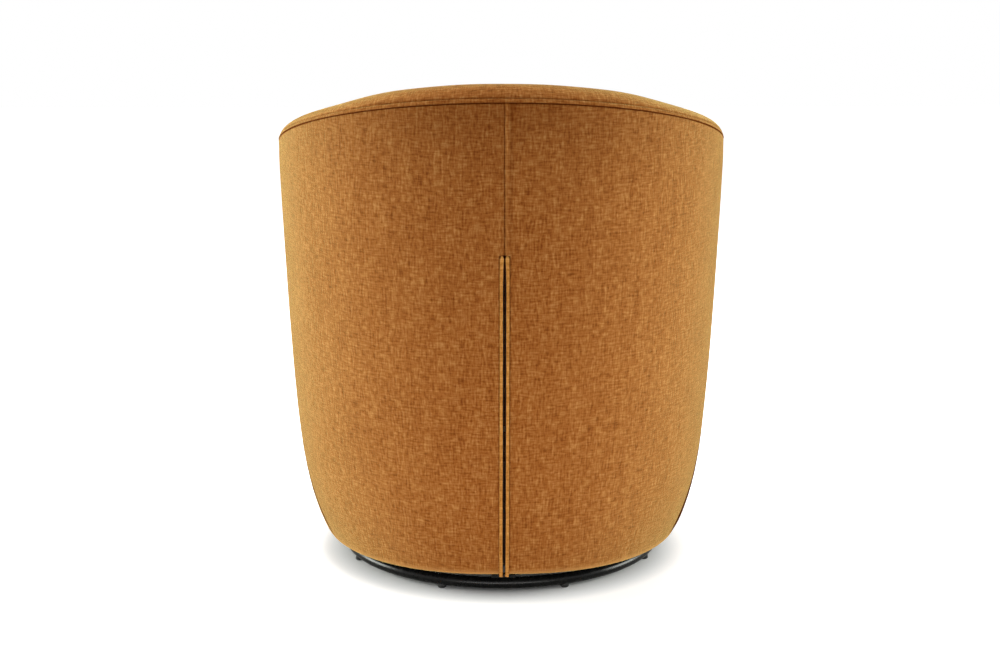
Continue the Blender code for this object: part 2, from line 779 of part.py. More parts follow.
def build_seat_frame():
    """Add the arcs of the seat frame, the front rail and the webbing straps."""
    joint = gap_angle(SEAT_FRAME_INNER)
    arcs = {
        "seat_frame_back": (-SEAT_FRAME_BACK_ANGLE, SEAT_FRAME_BACK_ANGLE),
        "seat_frame_left": (SEAT_FRAME_BACK_ANGLE + joint, ARM_ANGLE),
        "seat_frame_right": (-ARM_ANGLE, -SEAT_FRAME_BACK_ANGLE - joint),
    }
    for name, (start, end) in arcs.items():
        outline = sector(SEAT_FRAME_INNER, SEAT_FRAME_OUTER, start, end)
        flat_part(name, [outline], SEAT_FRAME_BOTTOM, SEAT_FRAME_THICKNESS, "plywood", SEAT)
    rail_outer = inside_cover(math.pi, SEAT_FRAME_BOTTOM)
    outline = sector(SEAT_FRAME_INNER, rail_outer, ARM_ANGLE + joint, math.tau - ARM_ANGLE - joint)
    flat_part("front_rail", [outline], SEAT_FRAME_BOTTOM, SEAT_FRAME_THICKNESS, "plywood", SEAT)

    reach = INNER_RADIUS - STRAP_END_MARGIN
    pitch = 2 * SEAT_FRAME_INNER / STRAP_COUNT
    for index in range(STRAP_COUNT):
        middle = (index - (STRAP_COUNT - 1) / 2) * pitch
        front, back = middle - STRAP_WIDTH / 2, middle + STRAP_WIDTH / 2
        half = math.sqrt(reach**2 - max(abs(front), abs(back)) ** 2)
        outline = [(-half, front), (half, front), (half, back), (-half, back)]
        name = f"seat_strap_{index + 1}"
        flat_part(name, [outline], SEAT_FRAME_TOP + GAP, STRAP_THICKNESS, "webbing", SEAT)


def build_top_rails():
    """Add the two bent rails under the rim roll, which meet at the back."""
    for hand, side in HANDS:
        sections = []
        for angle in columns_between(gap_angle(PAD_BACK_RADIUS) / 2, ARM_ANGLE):
            inner = PAD_BACK_RADIUS + FACET_GAP
            _, corner_height = rim_corner(angle)
            outer = inside_cover(angle, corner_height - RAIL_THICKNESS - COVER_THICKNESS)
            section = []
            for radius, drop in ((inner, 1), (outer, 1), (outer, 0), (inner, 0)):
                height = seam_height(radius, angle) - GAP - drop * RAIL_THICKNESS
                section.append(around(radius, hand * angle, height))
            sections.append(section)
        mesh = loft_mesh(f"top_rail_{side}", sections)
        add_part(f"top_rail_{side}", mesh, "plywood", SEAT)


# Inner pads and cushion


def pad_part(name, start, end):
    """Add a pad of the inner wall, crowned between its seams."""
    sections = []
    for angle in columns_between(start, end):
        across_share = 2 * (angle - start) / (end - start) - 1
        crown = PAD_CROWN * (1 - abs(across_share) ** PAD_EDGE_POWER)
        section = [(PAD_BACK_RADIUS, PAD_BOTTOM)]
        section.append((PAD_BACK_RADIUS, seam_height(PAD_BACK_RADIUS, angle) - GAP))
        top = seam_height(INNER_RADIUS, angle) - GAP
        for height_share in np.linspace(1.0, 0.0, PAD_ROWS):
            bulge = crown * math.sin(math.pi * height_share)
            height = PAD_BOTTOM + height_share * (top - PAD_BOTTOM)
            section.append((INNER_RADIUS - bulge, height))
        sections.append([around(radius, angle, height) for radius, height in section])
    add_part(name, loft_mesh(name, sections), "chenille", SEAT)


def build_pads():
    """Add the inner back and the two inner arms."""
    joint = gap_angle(INNER_RADIUS - PAD_CROWN)
    pad_part("inner_back_pad", -BACK_PAD_ANGLE, BACK_PAD_ANGLE)
    pad_part("inner_arm_pad_left", BACK_PAD_ANGLE + joint, ARM_ANGLE)
    pad_part("inner_arm_pad_right", -ARM_ANGLE, -BACK_PAD_ANGLE - joint)


def arm_front_shape(height):
    """Return the middle radius and the half width of an arm front at a height."""
    outer = barrel_radius(ARM_ANGLE, height)
    return (outer + INNER_RADIUS) / 2, (outer - INNER_RADIUS) / 2


def cushion_corner():
    """Return the middle, the half width and the angle that clear an arm front."""
    middle, half = arm_front_shape(CUSHION_TOP)
    half += CUSHION_FRONT_GAP
    return middle, half, math.asin(half / middle)


def cushion_reach(angle):
    """Return the cushion's radius, which steps out round the arm fronts."""
    beyond = abs(angle) - ARM_ANGLE
    if beyond <= 0:
        return CUSHION_SIDE
    middle, half, corner = cushion_corner()
    if beyond < corner:
        across = middle * math.sin(beyond)
        hugging = middle * math.cos(beyond) - math.sqrt(half**2 - across**2)
        return min(CUSHION_SIDE + beyond * middle, hugging)
    start = min(CUSHION_SIDE + corner * middle, middle * math.cos(corner))
    round_share = min((beyond - corner) / EAR_ROUND_ANGLE, 1.0)
    ease = math.sqrt(1 - (1 - round_share) ** 2)
    return start + (BARREL_RADIUS - start) * ease


def build_cushion():
    """Add the crowned seat cushion with drawn-in sides and a T-shaped front."""
    ear = ARM_ANGLE + cushion_corner()[-1]
    marks = [0.0, ARM_ANGLE, ear, ear + EAR_ROUND_ANGLE, math.pi]
    half_angles = []
    for start, end, columns in zip(marks, marks[1:], CUSHION_COLUMNS):
        half_angles += list(np.linspace(start, end, columns, endpoint=False))
    angles = half_angles + [math.pi] + [-angle for angle in half_angles[:0:-1]]
    sections = []
    for spread_share, height_share, outline_share in CUSHION_SECTION_SHARES:
        level = CUSHION_BOTTOM + height_share * (CUSHION_TOP - CUSHION_BOTTOM)
        section = []
        for angle in angles:
            step_out = cushion_reach(angle) - CUSHION_SIDE
            radius = spread_share * (CUSHION_SIDE + outline_share * step_out)
            section.append(around(radius, angle, level))
        sections.append(section)
    sections.append([Vector((0.0, 0.0, CUSHION_TOP))])
    mesh = loft_mesh("seat_cushion", sections)
    add_part("seat_cushion", mesh, "chenille", SEAT)


# Outer covers, rim and arm fronts


def build_covers():
    """Add the back and side covers of both hands, and the front apron."""
    seam = gap_angle(BARREL_RADIUS)

    def centre_seam(height):
        half_width = GAP / 2 if height > ZIP_TOP - ZIP_NOTCH_STEP / 2 else ZIP_HALF_WIDTH
        return math.asin(half_width / barrel_radius(0.0, height))

    def side_seam(_height):
        return SIDE_SEAM_ANGLE + seam

    def apron_seam(_height):
        return ARM_ANGLE + seam

    def under_rim(radius, angle):
        return seam_height(radius, angle) - GAP

    def under_seat(_radius, _angle):
        return SEAT_FRAME_TOP - GAP

    rows = cover_rows()
    for hand, side in HANDS:
        cover_part(f"outer_back_{side}", hand, centre_seam, SIDE_SEAM_ANGLE, under_rim, rows)
        cover_part(f"outer_side_{side}", hand, side_seam, ARM_ANGLE, under_rim, rows)
    apron_end = math.tau - ARM_ANGLE - seam
    apron_rows = crowded_shares(APRON_ROWS)
    cover_part("front_apron", 1, apron_seam, apron_end, under_seat, apron_rows)


def build_rim():
    """Add the half-round roll that caps the wall along the back and the arms."""
    sections = []
    for angle in columns_between(-ARM_ANGLE, ARM_ANGLE):
        outer, _ = rim_corner(angle)
        middle, half = (outer + INNER_RADIUS) / 2, (outer - INNER_RADIUS) / 2
        section = []
        for turn in np.linspace(0.0, math.pi, RIM_STEPS + 1):
            radius = middle + half * math.cos(turn)
            height = seam_height(radius, angle) + rim_rise(angle) * math.sin(turn)
            section.append(around(radius, angle, height))
        sections.append(section)
    add_part("rim_roll", loft_mesh("rim_roll", sections), "chenille", SEAT)


def arm_front_section(hand, level_share, lift):
    """Return a half-round section of an arm front, in the plane of its level.

    level_share runs from the seat to the rim's plane, and lift is the angle up
    the dome above that plane.
    """
    bottom = SEAT_FRAME_TOP + GAP
    _, top = rim_corner(ARM_ANGLE)
    middle, half = arm_front_shape(bottom + level_share * (top - bottom))
    half *= math.cos(lift)
    points = []
    for turn in np.linspace(0.0, math.pi, ARM_FRONT_STEPS + 1):
        radius = middle + half * math.cos(turn)
        ahead = GAP + half * math.sin(turn)
        x = radius * math.sin(ARM_ANGLE) + ahead * math.cos(ARM_ANGLE)
        y = radius * math.cos(ARM_ANGLE) - ahead * math.sin(ARM_ANGLE)
        level = bottom + level_share * (seam_plane(y) - bottom)
        points.append(Vector((hand * x, y, level + rim_rise(ARM_ANGLE) * math.sin(lift))))
    return points


def build_arm_fronts():
    """Add the half-round fronts of the arms, domed at the top."""
    for hand, side in HANDS:
        sections = [
            arm_front_section(hand, level_share, 0.0)
            for level_share in np.linspace(0.0, 1.0, ARM_FRONT_ROWS)
        ]
        for row in range(1, ARM_FRONT_DOME_ROWS):
            lift = row / ARM_FRONT_DOME_ROWS * math.pi / 2
            sections.append(arm_front_section(hand, 1.0, lift))
        sections.append(arm_front_section(hand, 1.0, math.pi / 2)[:1])
        mesh = loft_mesh(f"arm_front_{side}", sections)
        add_part(f"arm_front_{side}", mesh, "chenille", SEAT)


# Zip


def on_back_arc(x, depth, height):
    """Return a point beside the centre line, at a depth from the back's arc."""
    turn = math.asin((WIDEST_HEIGHT - height) / BACK_ARC_RADIUS)
    radius = BACK_ARC_RADIUS + depth
    y = BACK_ARC_CENTRE + radius * math.cos(turn)
    return Vector((x, y, WIDEST_HEIGHT - radius * math.sin(turn)))


def zip_strip(name, hand, outline, bottom, top, finish):
    """Carry an outline of width and depth up the arc of the back."""
    sections = []
    for height in np.linspace(bottom, top, ZIP_SECTIONS):
        sections.append([on_back_arc(hand * x, depth, height) for x, depth in outline])
    add_part(name, loft_mesh(name, sections), finish, SEAT)


def build_zip():
    """Add the fabric lips, the two stringers behind them and the slider."""
    lip = (
        (LIP_INNER, LIP_BACK),
        (LIP_OUTER, LIP_BACK),
        (LIP_OUTER, LIP_PROUD),
        (LIP_INNER, LIP_PROUD),
    )
    tape_edge = LIP_OUTER - TAPE_INSET
    chain_edge = CHAIN_SLOT + CHAIN_WIDTH
    stringer = (
        (CHAIN_SLOT, TAPE_BACK),
        (tape_edge, TAPE_BACK),
        (tape_edge, TAPE_FACE),
        (chain_edge, TAPE_FACE),
        (chain_edge, CHAIN_FACE),
        (CHAIN_SLOT, CHAIN_FACE),
    )
    lip_bottom = HEM_HEIGHT - ZIP_LIP_DROP
    lip_top = ZIP_TOP - ZIP_NOTCH_STEP - GAP
    stringer_top = ZIP_TOP - ZIP_TAPE_SHORT
    for hand, side in HANDS:
        zip_strip(f"zip_lip_{side}", hand, lip, lip_bottom, lip_top, "chenille")
        zip_strip(f"zip_stringer_{side}", hand, stringer, HEM_HEIGHT, stringer_top, "zip_tape")
    build_zip_slider()


def build_zip_slider():
    """Add the slider: two plates, and a web that runs between the chains."""
    face_inner = SLIDER_FACE - SLIDER_PLATE
    back_inner = SLIDER_BACK + SLIDER_PLATE
    right_half = (
        (SLIDER_HALF_WIDTH, SLIDER_FACE),
        (SLIDER_HALF_WIDTH, face_inner),
        (SLIDER_HALF_WEB, face_inner),
        (SLIDER_HALF_WEB, back_inner),
        (SLIDER_HALF_WIDTH, back_inner),
        (SLIDER_HALF_WIDTH, SLIDER_BACK),
    )
    half_outline = [(x, BACK_ARC_RADIUS + depth) for x, depth in right_half]
    outline = half_outline + [(-x, reach) for x, reach in half_outline[::-1]]
    bottom = -SLIDER_LENGTH / 2
    slider = flat_part("zip_slider", [outline], bottom, SLIDER_LENGTH, "black_plastic", ZIP_AXIS)
    turn = math.asin((WIDEST_HEIGHT - SLIDER_PARK_HEIGHT) / BACK_ARC_RADIUS)
    slider.rotation_euler = (-turn, 0.0, 0.0)


clear_scene()
PARTS = new_collection("swivel_armchair")
CUTTERS = new_collection("cutters")
BASE = add_empty("base", (0.0, 0.0, 0.0))
CAGE = add_empty("ball_cage_axis", (0.0, 0.0, 0.0))
SEAT = add_empty("swivel_axis", (0.0, 0.0, 0.0))
ZIP_AXIS = add_empty("zip_axis", (0.0, BACK_ARC_CENTRE, WIDEST_HEIGHT))
ZIP_AXIS.parent = SEAT

build_glides(build_base_ring())
build_base_cross()
build_bearing()
build_pivot()
build_plate_bolts()
build_board()
build_tall_ribs()
build_front_ribs()
build_seat_frame()
build_top_rails()
build_pads()
build_cushion()
build_covers()
build_rim()
build_arm_fronts()
build_zip()
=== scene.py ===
"""Looks of the swivel tub armchair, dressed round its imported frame.

Metres, +Z up. The chair faces -Y, so its zipped back is at +Y, and angles are
measured from the back towards +X, the sitter's left. Every soft piece is a
surface of two parameters, and carries a UV map in metres for its weave.
"""

import json
import logging
import math
from dataclasses import dataclass
from enum import Enum
from functools import partial, reduce
from typing import Callable, Sequence

import bmesh
import bpy
import numpy as np
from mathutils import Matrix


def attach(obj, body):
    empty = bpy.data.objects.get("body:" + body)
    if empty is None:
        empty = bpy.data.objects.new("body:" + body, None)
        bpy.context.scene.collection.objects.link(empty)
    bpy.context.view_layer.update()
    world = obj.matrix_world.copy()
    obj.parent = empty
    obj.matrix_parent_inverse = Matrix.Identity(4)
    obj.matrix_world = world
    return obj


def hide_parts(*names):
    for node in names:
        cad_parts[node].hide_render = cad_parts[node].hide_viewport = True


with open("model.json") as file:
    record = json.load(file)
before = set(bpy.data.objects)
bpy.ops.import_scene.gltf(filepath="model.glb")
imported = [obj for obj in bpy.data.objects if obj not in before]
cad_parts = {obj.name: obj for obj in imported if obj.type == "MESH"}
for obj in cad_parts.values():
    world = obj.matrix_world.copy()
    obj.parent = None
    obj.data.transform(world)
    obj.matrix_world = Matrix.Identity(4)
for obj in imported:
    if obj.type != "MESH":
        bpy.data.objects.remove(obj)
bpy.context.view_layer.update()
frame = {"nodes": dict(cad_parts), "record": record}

UV_NAME = "weave"
TONE_NAME = "tone"
SEAM_TONE = -0.3  # faces of a darker mean tone than this lie deep in a seam's painted shade
# The colour that painted shade darkens the cloth towards, in seams, creases, under the rim and beside the welts.
PAINTED_SHADE_COLOUR = (0.095, 0.019, 0.001)
WHITE = (1.0, 1.0, 1.0)
MERGE = 2e-6  # points closer than this are one
SLACK_WAVES = 6
SLACK_SPREAD = (0.6, 1.6)  # shares of the middle wavelength
PUCKER_WANDER = 2.0  # radians that gathers wander off their pitch
PUCKER_SLOW = 3.7  # pitches over which they do so once
PUCKER_CLEAR = 0.15  # share of their reach that stays flat beside the seam
ROLL_POINTS, ROLL_CROWD = 8, 1.5  # points over a rolled end, and how they crowd to its edge
MARK_POINTS, MARK_REACH = 9, 0.8  # points about a mark, and the share of the roll that they cover
CLOSEST = 1e-4  # least distance between two rows of points
TINY = 1e-12  # keeps a divisor off zero
STITCH_RINGS, STITCH_SIDES = 6, 6
STITCH_LIFT, STITCH_SINK = 0.9, 0.35  # of the thread's radius
STITCH_BLUNT = 0.25  # power of the sine that rounds a stitch's ends
PLAIN_CREASE, SOLE_CREASE = 50.0, 35.0  # degrees above which an edge is sharp
LOG = logging.getLogger("armchair")

Array = np.ndarray
Colour = tuple[float, float, float]
Socket = bpy.types.NodeSocket


# Choices


class Side(Enum):
    """The sitter's left or right hand, by the sign of its X."""

    LEFT = 1
    RIGHT = -1

    @property
    def label(self) -> str:
        """The word that names a piece of this side."""
        return self.name.lower()


class Body(Enum):
    """The bodies that the added pieces ride on. The frame's own nodes ride on theirs."""

    BASE = "base"
    SEAT = "seat"


# Numpy helpers


def stacked(*parts: Array | float) -> Array:
    """Join coordinates of one broadcast shape along a new last axis."""
    return np.stack(np.broadcast_arrays(*parts), axis=-1)


def polar(radius: Array, angle: Array, height: Array) -> Array:
    """Points at a radius, an angle from the back and a height: x = r sin a, y = r cos a."""
    return stacked(radius * np.sin(angle), radius * np.cos(angle), height)


def run_along(path: Array) -> Array:
    """Distances along a line of points, from 0 at its first one."""
    return np.concatenate([[0.0], np.cumsum(np.linalg.norm(np.diff(path, axis=0), axis=1))])


def clipped(share: Array) -> Array:
    """A share held between 0 and 1."""
    return np.clip(share, 0.0, 1.0)


def eased(share: Array) -> Array:
    """A share eased in and out: its square times three less twice the share."""
    return share * share * (3 - 2 * share)


def smallest(*distances: Array) -> Array:
    """The least of several distances at each point."""
    return reduce(np.minimum, distances)


def from_ends(share: Array) -> Array:
    """The share left to the nearer of two ends, which lie at 0 and 1."""
    return np.minimum(share, 1 - share)


def blunted(wave: Array, power: float) -> Array:
    """A wave between -1 and 1 raised to a power, with its sign kept."""
    return np.sign(wave) * np.abs(wave) ** power


def rolled(distance: Array, radius: float) -> Array:
    """Depth below a surface of its rolled edge: the radius less the height of its quarter circle."""
    left = 1.0 - clipped(distance / radius)
    return radius * (1.0 - np.sqrt(np.maximum(1.0 - left**2, 0.0)))


def groove(distance: Array, width: float) -> Array:
    """A bell of height one across a distance: exp of minus the square of distance over width."""
    return np.exp(-((distance / width) ** 2))


def slack(u: Array, v: Array, wavelength: float, seed: int) -> Array:
    """Slow unevenness between -1 and 1: the mean of some seeded plane waves.

    Args:
        u: First coordinate over the surface, in metres.
        v: Second coordinate over the surface, in metres.
        wavelength: Middle wavelength, which the waves vary about.
        seed: Seed of the waves' directions and phases.

    Returns:
        The sum of the waves over their number.
    """
    rng = np.random.default_rng(seed)
    total = np.zeros(np.broadcast(u, v).shape)
    turns, phases = rng.uniform(0, math.tau, SLACK_WAVES), rng.uniform(0, math.tau, SLACK_WAVES)
    for turn, phase, stretch in zip(turns, phases, rng.uniform(*SLACK_SPREAD, SLACK_WAVES)):
        wave = math.tau / (wavelength * stretch)
        total += np.sin(wave * (u * math.cos(turn) + v * math.sin(turn)) + phase)
    return total / SLACK_WAVES


def puckers(distance: Array, along: Array, pitch: float, reach: float, seed: int) -> Array:
    """Small gathers beside a seam, between 0 and 1, that die away from it.

    Args:
        distance: Distance from the seam.
        along: Position along the seam.
        pitch: Mean distance between gathers.
        reach: Distance over which they die away.
        seed: Seed of their phases.

    Returns:
        A wave along the seam times exp of minus distance over reach.
    """
    rng = np.random.default_rng(seed)
    first, second = rng.uniform(0, math.tau, 2)
    wander = PUCKER_WANDER * np.sin(math.tau * along / (PUCKER_SLOW * pitch) + second)
    wave = np.sin(math.tau * along / pitch + first + wander)
    return (0.5 + 0.5 * wave) * np.exp(-distance / reach) * (1 - np.exp(-distance / (PUCKER_CLEAR * reach)))


def spaced(length: float, step: float, roll: float, marks: Sequence[float] = ()) -> Array:
    """Distances from 0 to a length, closer together at both ends and about marks.

    Args:
        length: Total distance.
        step: Step in the plain middle.
        roll: Radius of the rolled ends.
        marks: Places of grooves that need close points.

    Returns:
        Rising distances, with no two closer than the closest allowed.
    """
    ends = roll * np.linspace(0.0, 1.0, ROLL_POINTS) ** ROLL_CROWD
    plain = np.linspace(roll, length - roll, max(3, math.ceil((length - 2 * roll) / step) + 1))
    near = [mark + roll * np.linspace(-MARK_REACH, MARK_REACH, MARK_POINTS) for mark in marks]
    found = np.clip(np.sort(np.concatenate([ends, plain, length - ends, *near])), 0.0, length)
    found = found[np.concatenate([[True], np.diff(found) > CLOSEST])]
    found[-1] = length
    return found


def shares(length: float, step: float, roll: float, marks: Sequence[float] = ()) -> Array:
    """The spaced distances over their length, so from 0 to 1. Its arguments are theirs."""
    return spaced(length, step, roll, marks) / length


def calmed(distance: Array, reach: float) -> Array:
    """The share of slackness at a distance from a seam: one less exp of minus distance over reach."""
    return 1.0 - np.exp(-distance / reach)


def resampled(path: Array, step: float) -> Array:
    """Places along a line of points, evenly about one step apart.

    Args:
        path: Points of the line.
        step: Distance wanted between two places.

    Returns:
        The places, as fractional indices of the points.
    """
    run = run_along(path)
    count = max(2, round(run[-1] / step))
    return np.interp(np.linspace(0.0, run[-1], count + 1), run, np.arange(len(path)))


def taken(values: Array, places: Array) -> Array:
    """Values of rows at fractional indices, by straight interpolation."""
    rows = np.arange(len(values))
    return np.stack([np.interp(places, rows, values[:, axis]) for axis in range(values.shape[1])], axis=-1)


def unit(vectors: Array) -> Array:
    """Vectors over their lengths."""
    return vectors / np.maximum(np.linalg.norm(vectors, axis=-1, keepdims=True), TINY)


# Meshes


class Skin:
    """Grids of points gathered into one mesh, whose UV map is in metres."""

    def __init__(self, name: str) -> None:
        """Start an empty skin.

        Args:
            name: Name of the mesh to come.
        """
        self.name = name
        self.points: list[Array] = []
        self.uvs: list[Array] = []
        self.tones: list[Array] = []
        self.faces: list[Array] = []
        self.count = 0

    def grid(self, points: Array, uv: Array, tone: Array | float = 0.0) -> "Skin":
        """Add quads between the neighbouring points of a grid.

        Args:
            points: Grid of points, rows by columns by three.
            uv: Grid of UV coordinates in metres, rows by columns by two.
            tone: Painted shade and highlight of each point, from -1 deep in a seam to 1 on a lit fold.

        Returns:
            The skin itself.
        """
        rows, columns = points.shape[:2]
        index = self.count + np.arange(rows * columns).reshape(rows, columns)
        quads = np.stack([index[:-1, :-1], index[1:, :-1], index[1:, 1:], index[:-1, 1:]], axis=-1)
        self.points.append(points.reshape(-1, 3))
        self.uvs.append(np.broadcast_to(uv, (rows, columns, 2)).reshape(-1, 2))
        self.tones.append(np.broadcast_to(tone, (rows, columns)).ravel())
        self.faces.append(quads.reshape(-1, 4))
        self.count += rows * columns
        return self

    def shell(self, outer: Array, inner: Array, uv: Array, tone: Array | float = 0.0) -> "Skin":
        """Add a closed sheet: two grids of one shape, and strips along their four edges.

        Args:
            outer: Grid of points of the outer face.
            inner: Grid of points of the inner face.
            uv: UV coordinates of both grids, in metres.
            tone: Painted shade and highlight of each point of both grids.

        Returns:
            The skin itself.
        """
        shade = np.broadcast_to(tone, outer.shape[:2])
        self.grid(outer, uv, shade).grid(inner, uv, shade)
        for cut in (np.s_[:1], np.s_[-1:], np.s_[:, :1], np.s_[:, -1:]):
            axis = 0 if isinstance(cut, slice) else 1
            both = [np.concatenate([values[cut], values[cut]], axis=axis) for values in (uv, shade)]
            self.grid(np.concatenate([outer[cut], inner[cut]], axis=axis), *both)
        return self

    def mesh(self) -> bpy.types.Mesh:
        """Make one mesh of the grids, with its doubles merged and its faces pointing outwards.

        Returns:
            The mesh, with its UV map and its tone attribute.
        """
        points, uvs, faces = map(np.concatenate, (self.points, self.uvs, self.faces))
        mesh = bpy.data.meshes.new(self.name)
        mesh.from_pydata(points.tolist(), [], faces.tolist())
        layer = mesh.uv_layers.new(name=UV_NAME)
        layer.data.foreach_set("uv", uvs[faces.ravel()].astype(np.float32).ravel())
        tones = mesh.attributes.new(TONE_NAME, "FLOAT", "POINT")
        tones.data.foreach_set("value", np.concatenate(self.tones).astype(np.float32))
        bm = bmesh.new()
        bm.from_mesh(mesh)
        bmesh.ops.remove_doubles(bm, verts=bm.verts, dist=MERGE)
        bmesh.ops.dissolve_degenerate(bm, edges=bm.edges, dist=MERGE)
        bmesh.ops.recalc_face_normals(bm, faces=bm.faces)
        open_edges = sum(not edge.is_manifold for edge in bm.edges)
        bm.to_mesh(mesh)
        bm.free()
        if open_edges:
            LOG.warning("%s has %d open edges", self.name, open_edges)
        return mesh


def placed(name: str, data: bpy.types.ID) -> bpy.types.Object:
    """Place a mesh, a light or a camera in the scene.

    Args:
        name: Name of the object.
        data: What it shows.

    Returns:
        The new object, at the origin.
    """
    thing = bpy.data.objects.new(name, data)
    bpy.context.scene.collection.objects.link(thing)
    return thing


def add_piece(
    name: str,
    mesh: bpy.types.Mesh,
    material: bpy.types.Material,
    body: Body,
    stands_for: Sequence[str] = (),
    crease: float = PLAIN_CREASE,
) -> bpy.types.Object:
    """Add a finished piece to the scene.

    Args:
        name: Name of the piece.
        mesh: Its mesh, already in place.
        material: Its material.
        body: Body that it rides on.
        stands_for: Frame nodes that it replaces.
        crease: Angle in degrees above which an edge is sharp.

    Returns:
        The piece's object.
    """
    piece = placed(name, mesh)
    mesh.materials.append(material)
    mesh.shade_smooth()
    mesh.set_sharp_from_angle(angle=math.radians(crease))
    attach(piece, body.value)
    if stands_for:
        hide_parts(*stands_for)
    LOG.info("%s: %d faces, rides on %s", name, len(mesh.polygons), body.value)
    return piece


def sew(piece: bpy.types.Object) -> None:
    """Give the faces deep in a piece's seams the painted seam shade: a dark copy of the cloth without sheen.

    Args:
        piece: Piece whose mesh has the tone attribute; a face counts by its corners' mean tone.
    """
    mesh = piece.data
    tones = np.empty(len(mesh.vertices))
    mesh.attributes[TONE_NAME].data.foreach_get("value", tones)
    corners = np.empty(len(mesh.loops), dtype=int)
    mesh.loops.foreach_get("vertex_index", corners)
    starts = np.empty(len(mesh.polygons), dtype=int)
    mesh.polygons.foreach_get("loop_start", starts)
    mean = np.add.reduceat(tones[corners], starts) / np.diff(np.append(starts, len(corners)))
    mesh.materials.append(CHENILLE_SEAM_SHADE.material())
    mesh.polygons.foreach_set("material_index", (mean < SEAM_TONE).astype(np.int32))


def upholster(name: str, mesh: bpy.types.Mesh, node: str, sewn: bool = True) -> None:
    """Add a padded piece in chenille.

    Args:
        name: Name of the piece.
        mesh: Its mesh, already in place.
        node: Frame node that it replaces.
        sewn: Whether its seams show the painted seam shade of the dark copy without sheen.
    """
    piece = add_piece(name, mesh, CHENILLE.material(), Body.SEAT, (node,))
    if sewn:
        sew(piece)


def stitches(name: str, path: Array, normal: Array, pitch: float, length: float, radius: float) -> Skin:
    """Build a run of stitches that lie along a line on a surface.

    Each stitch is a spindle: its radius is the thread's times the fourth root
    of sin, and its middle lifts off the line as sin does.

    Args:
        name: Name of the skin.
        path: Points of the line.
        normal: Surface direction at each point.
        pitch: Distance between stitches.
        length: Length of one stitch.
        radius: Radius of the thread.

    Returns:
        The skin of all the stitches.
    """
    places = resampled(path, pitch)[:-1]
    run = np.linalg.norm(np.diff(path, axis=0), axis=1)
    share = length / max(float(np.mean(run)), TINY)
    steps = np.linspace(0.0, 1.0, STITCH_RINGS)
    where = (places[:, None] + share * steps[None, :]).ravel()
    middle = taken(path, where).reshape(len(places), STITCH_RINGS, 3)
    out = unit(taken(normal, where)).reshape(middle.shape)
    along = unit(middle[:, -1:] - middle[:, :1])
    side = unit(np.cross(along, out))
    lift = np.sin(math.pi * steps)
    middle = middle + (radius * (STITCH_LIFT * lift - STITCH_SINK))[None, :, None] * out
    size = (radius * lift**STITCH_BLUNT)[None, :, None, None]
    round_it = np.linspace(0.0, math.tau, STITCH_SIDES + 1)
    turn = round_it[None, None, :, None]
    points = middle[:, :, None] + size * (np.cos(turn) * side[:, :, None] + np.sin(turn) * out[:, :, None])
    skin = Skin(name)
    uv = stacked(length * steps[:, None], radius * round_it[None, :])
    for stitch in points:
        skin.grid(stitch, uv)
    return skin


def lathe(name: str, profile: Sequence[tuple[float, float]], centre: tuple[float, float], sides: int) -> Skin:
    """Turn a profile of radius and height about an upright axis.

    Args:
        name: Name of the skin.
        profile: Radii and heights, whose two ends lie on the axis or meet.
        centre: X and Y of the axis.
        sides: Number of sides.

    Returns:
        The skin of the turned piece.
    """
    outline = np.array(profile)
    turn = np.linspace(0.0, math.tau, sides + 1)
    points = polar(outline[:, :1], turn[None, :], outline[:, 1:])
    points = points + np.array([*centre, 0.0])
    run = run_along(outline)
    reach = float(outline[:, 0].max())
    uv = stacked(reach * turn[None, :], run[:, None])
    return Skin(name).grid(points, uv)


# Node graphs


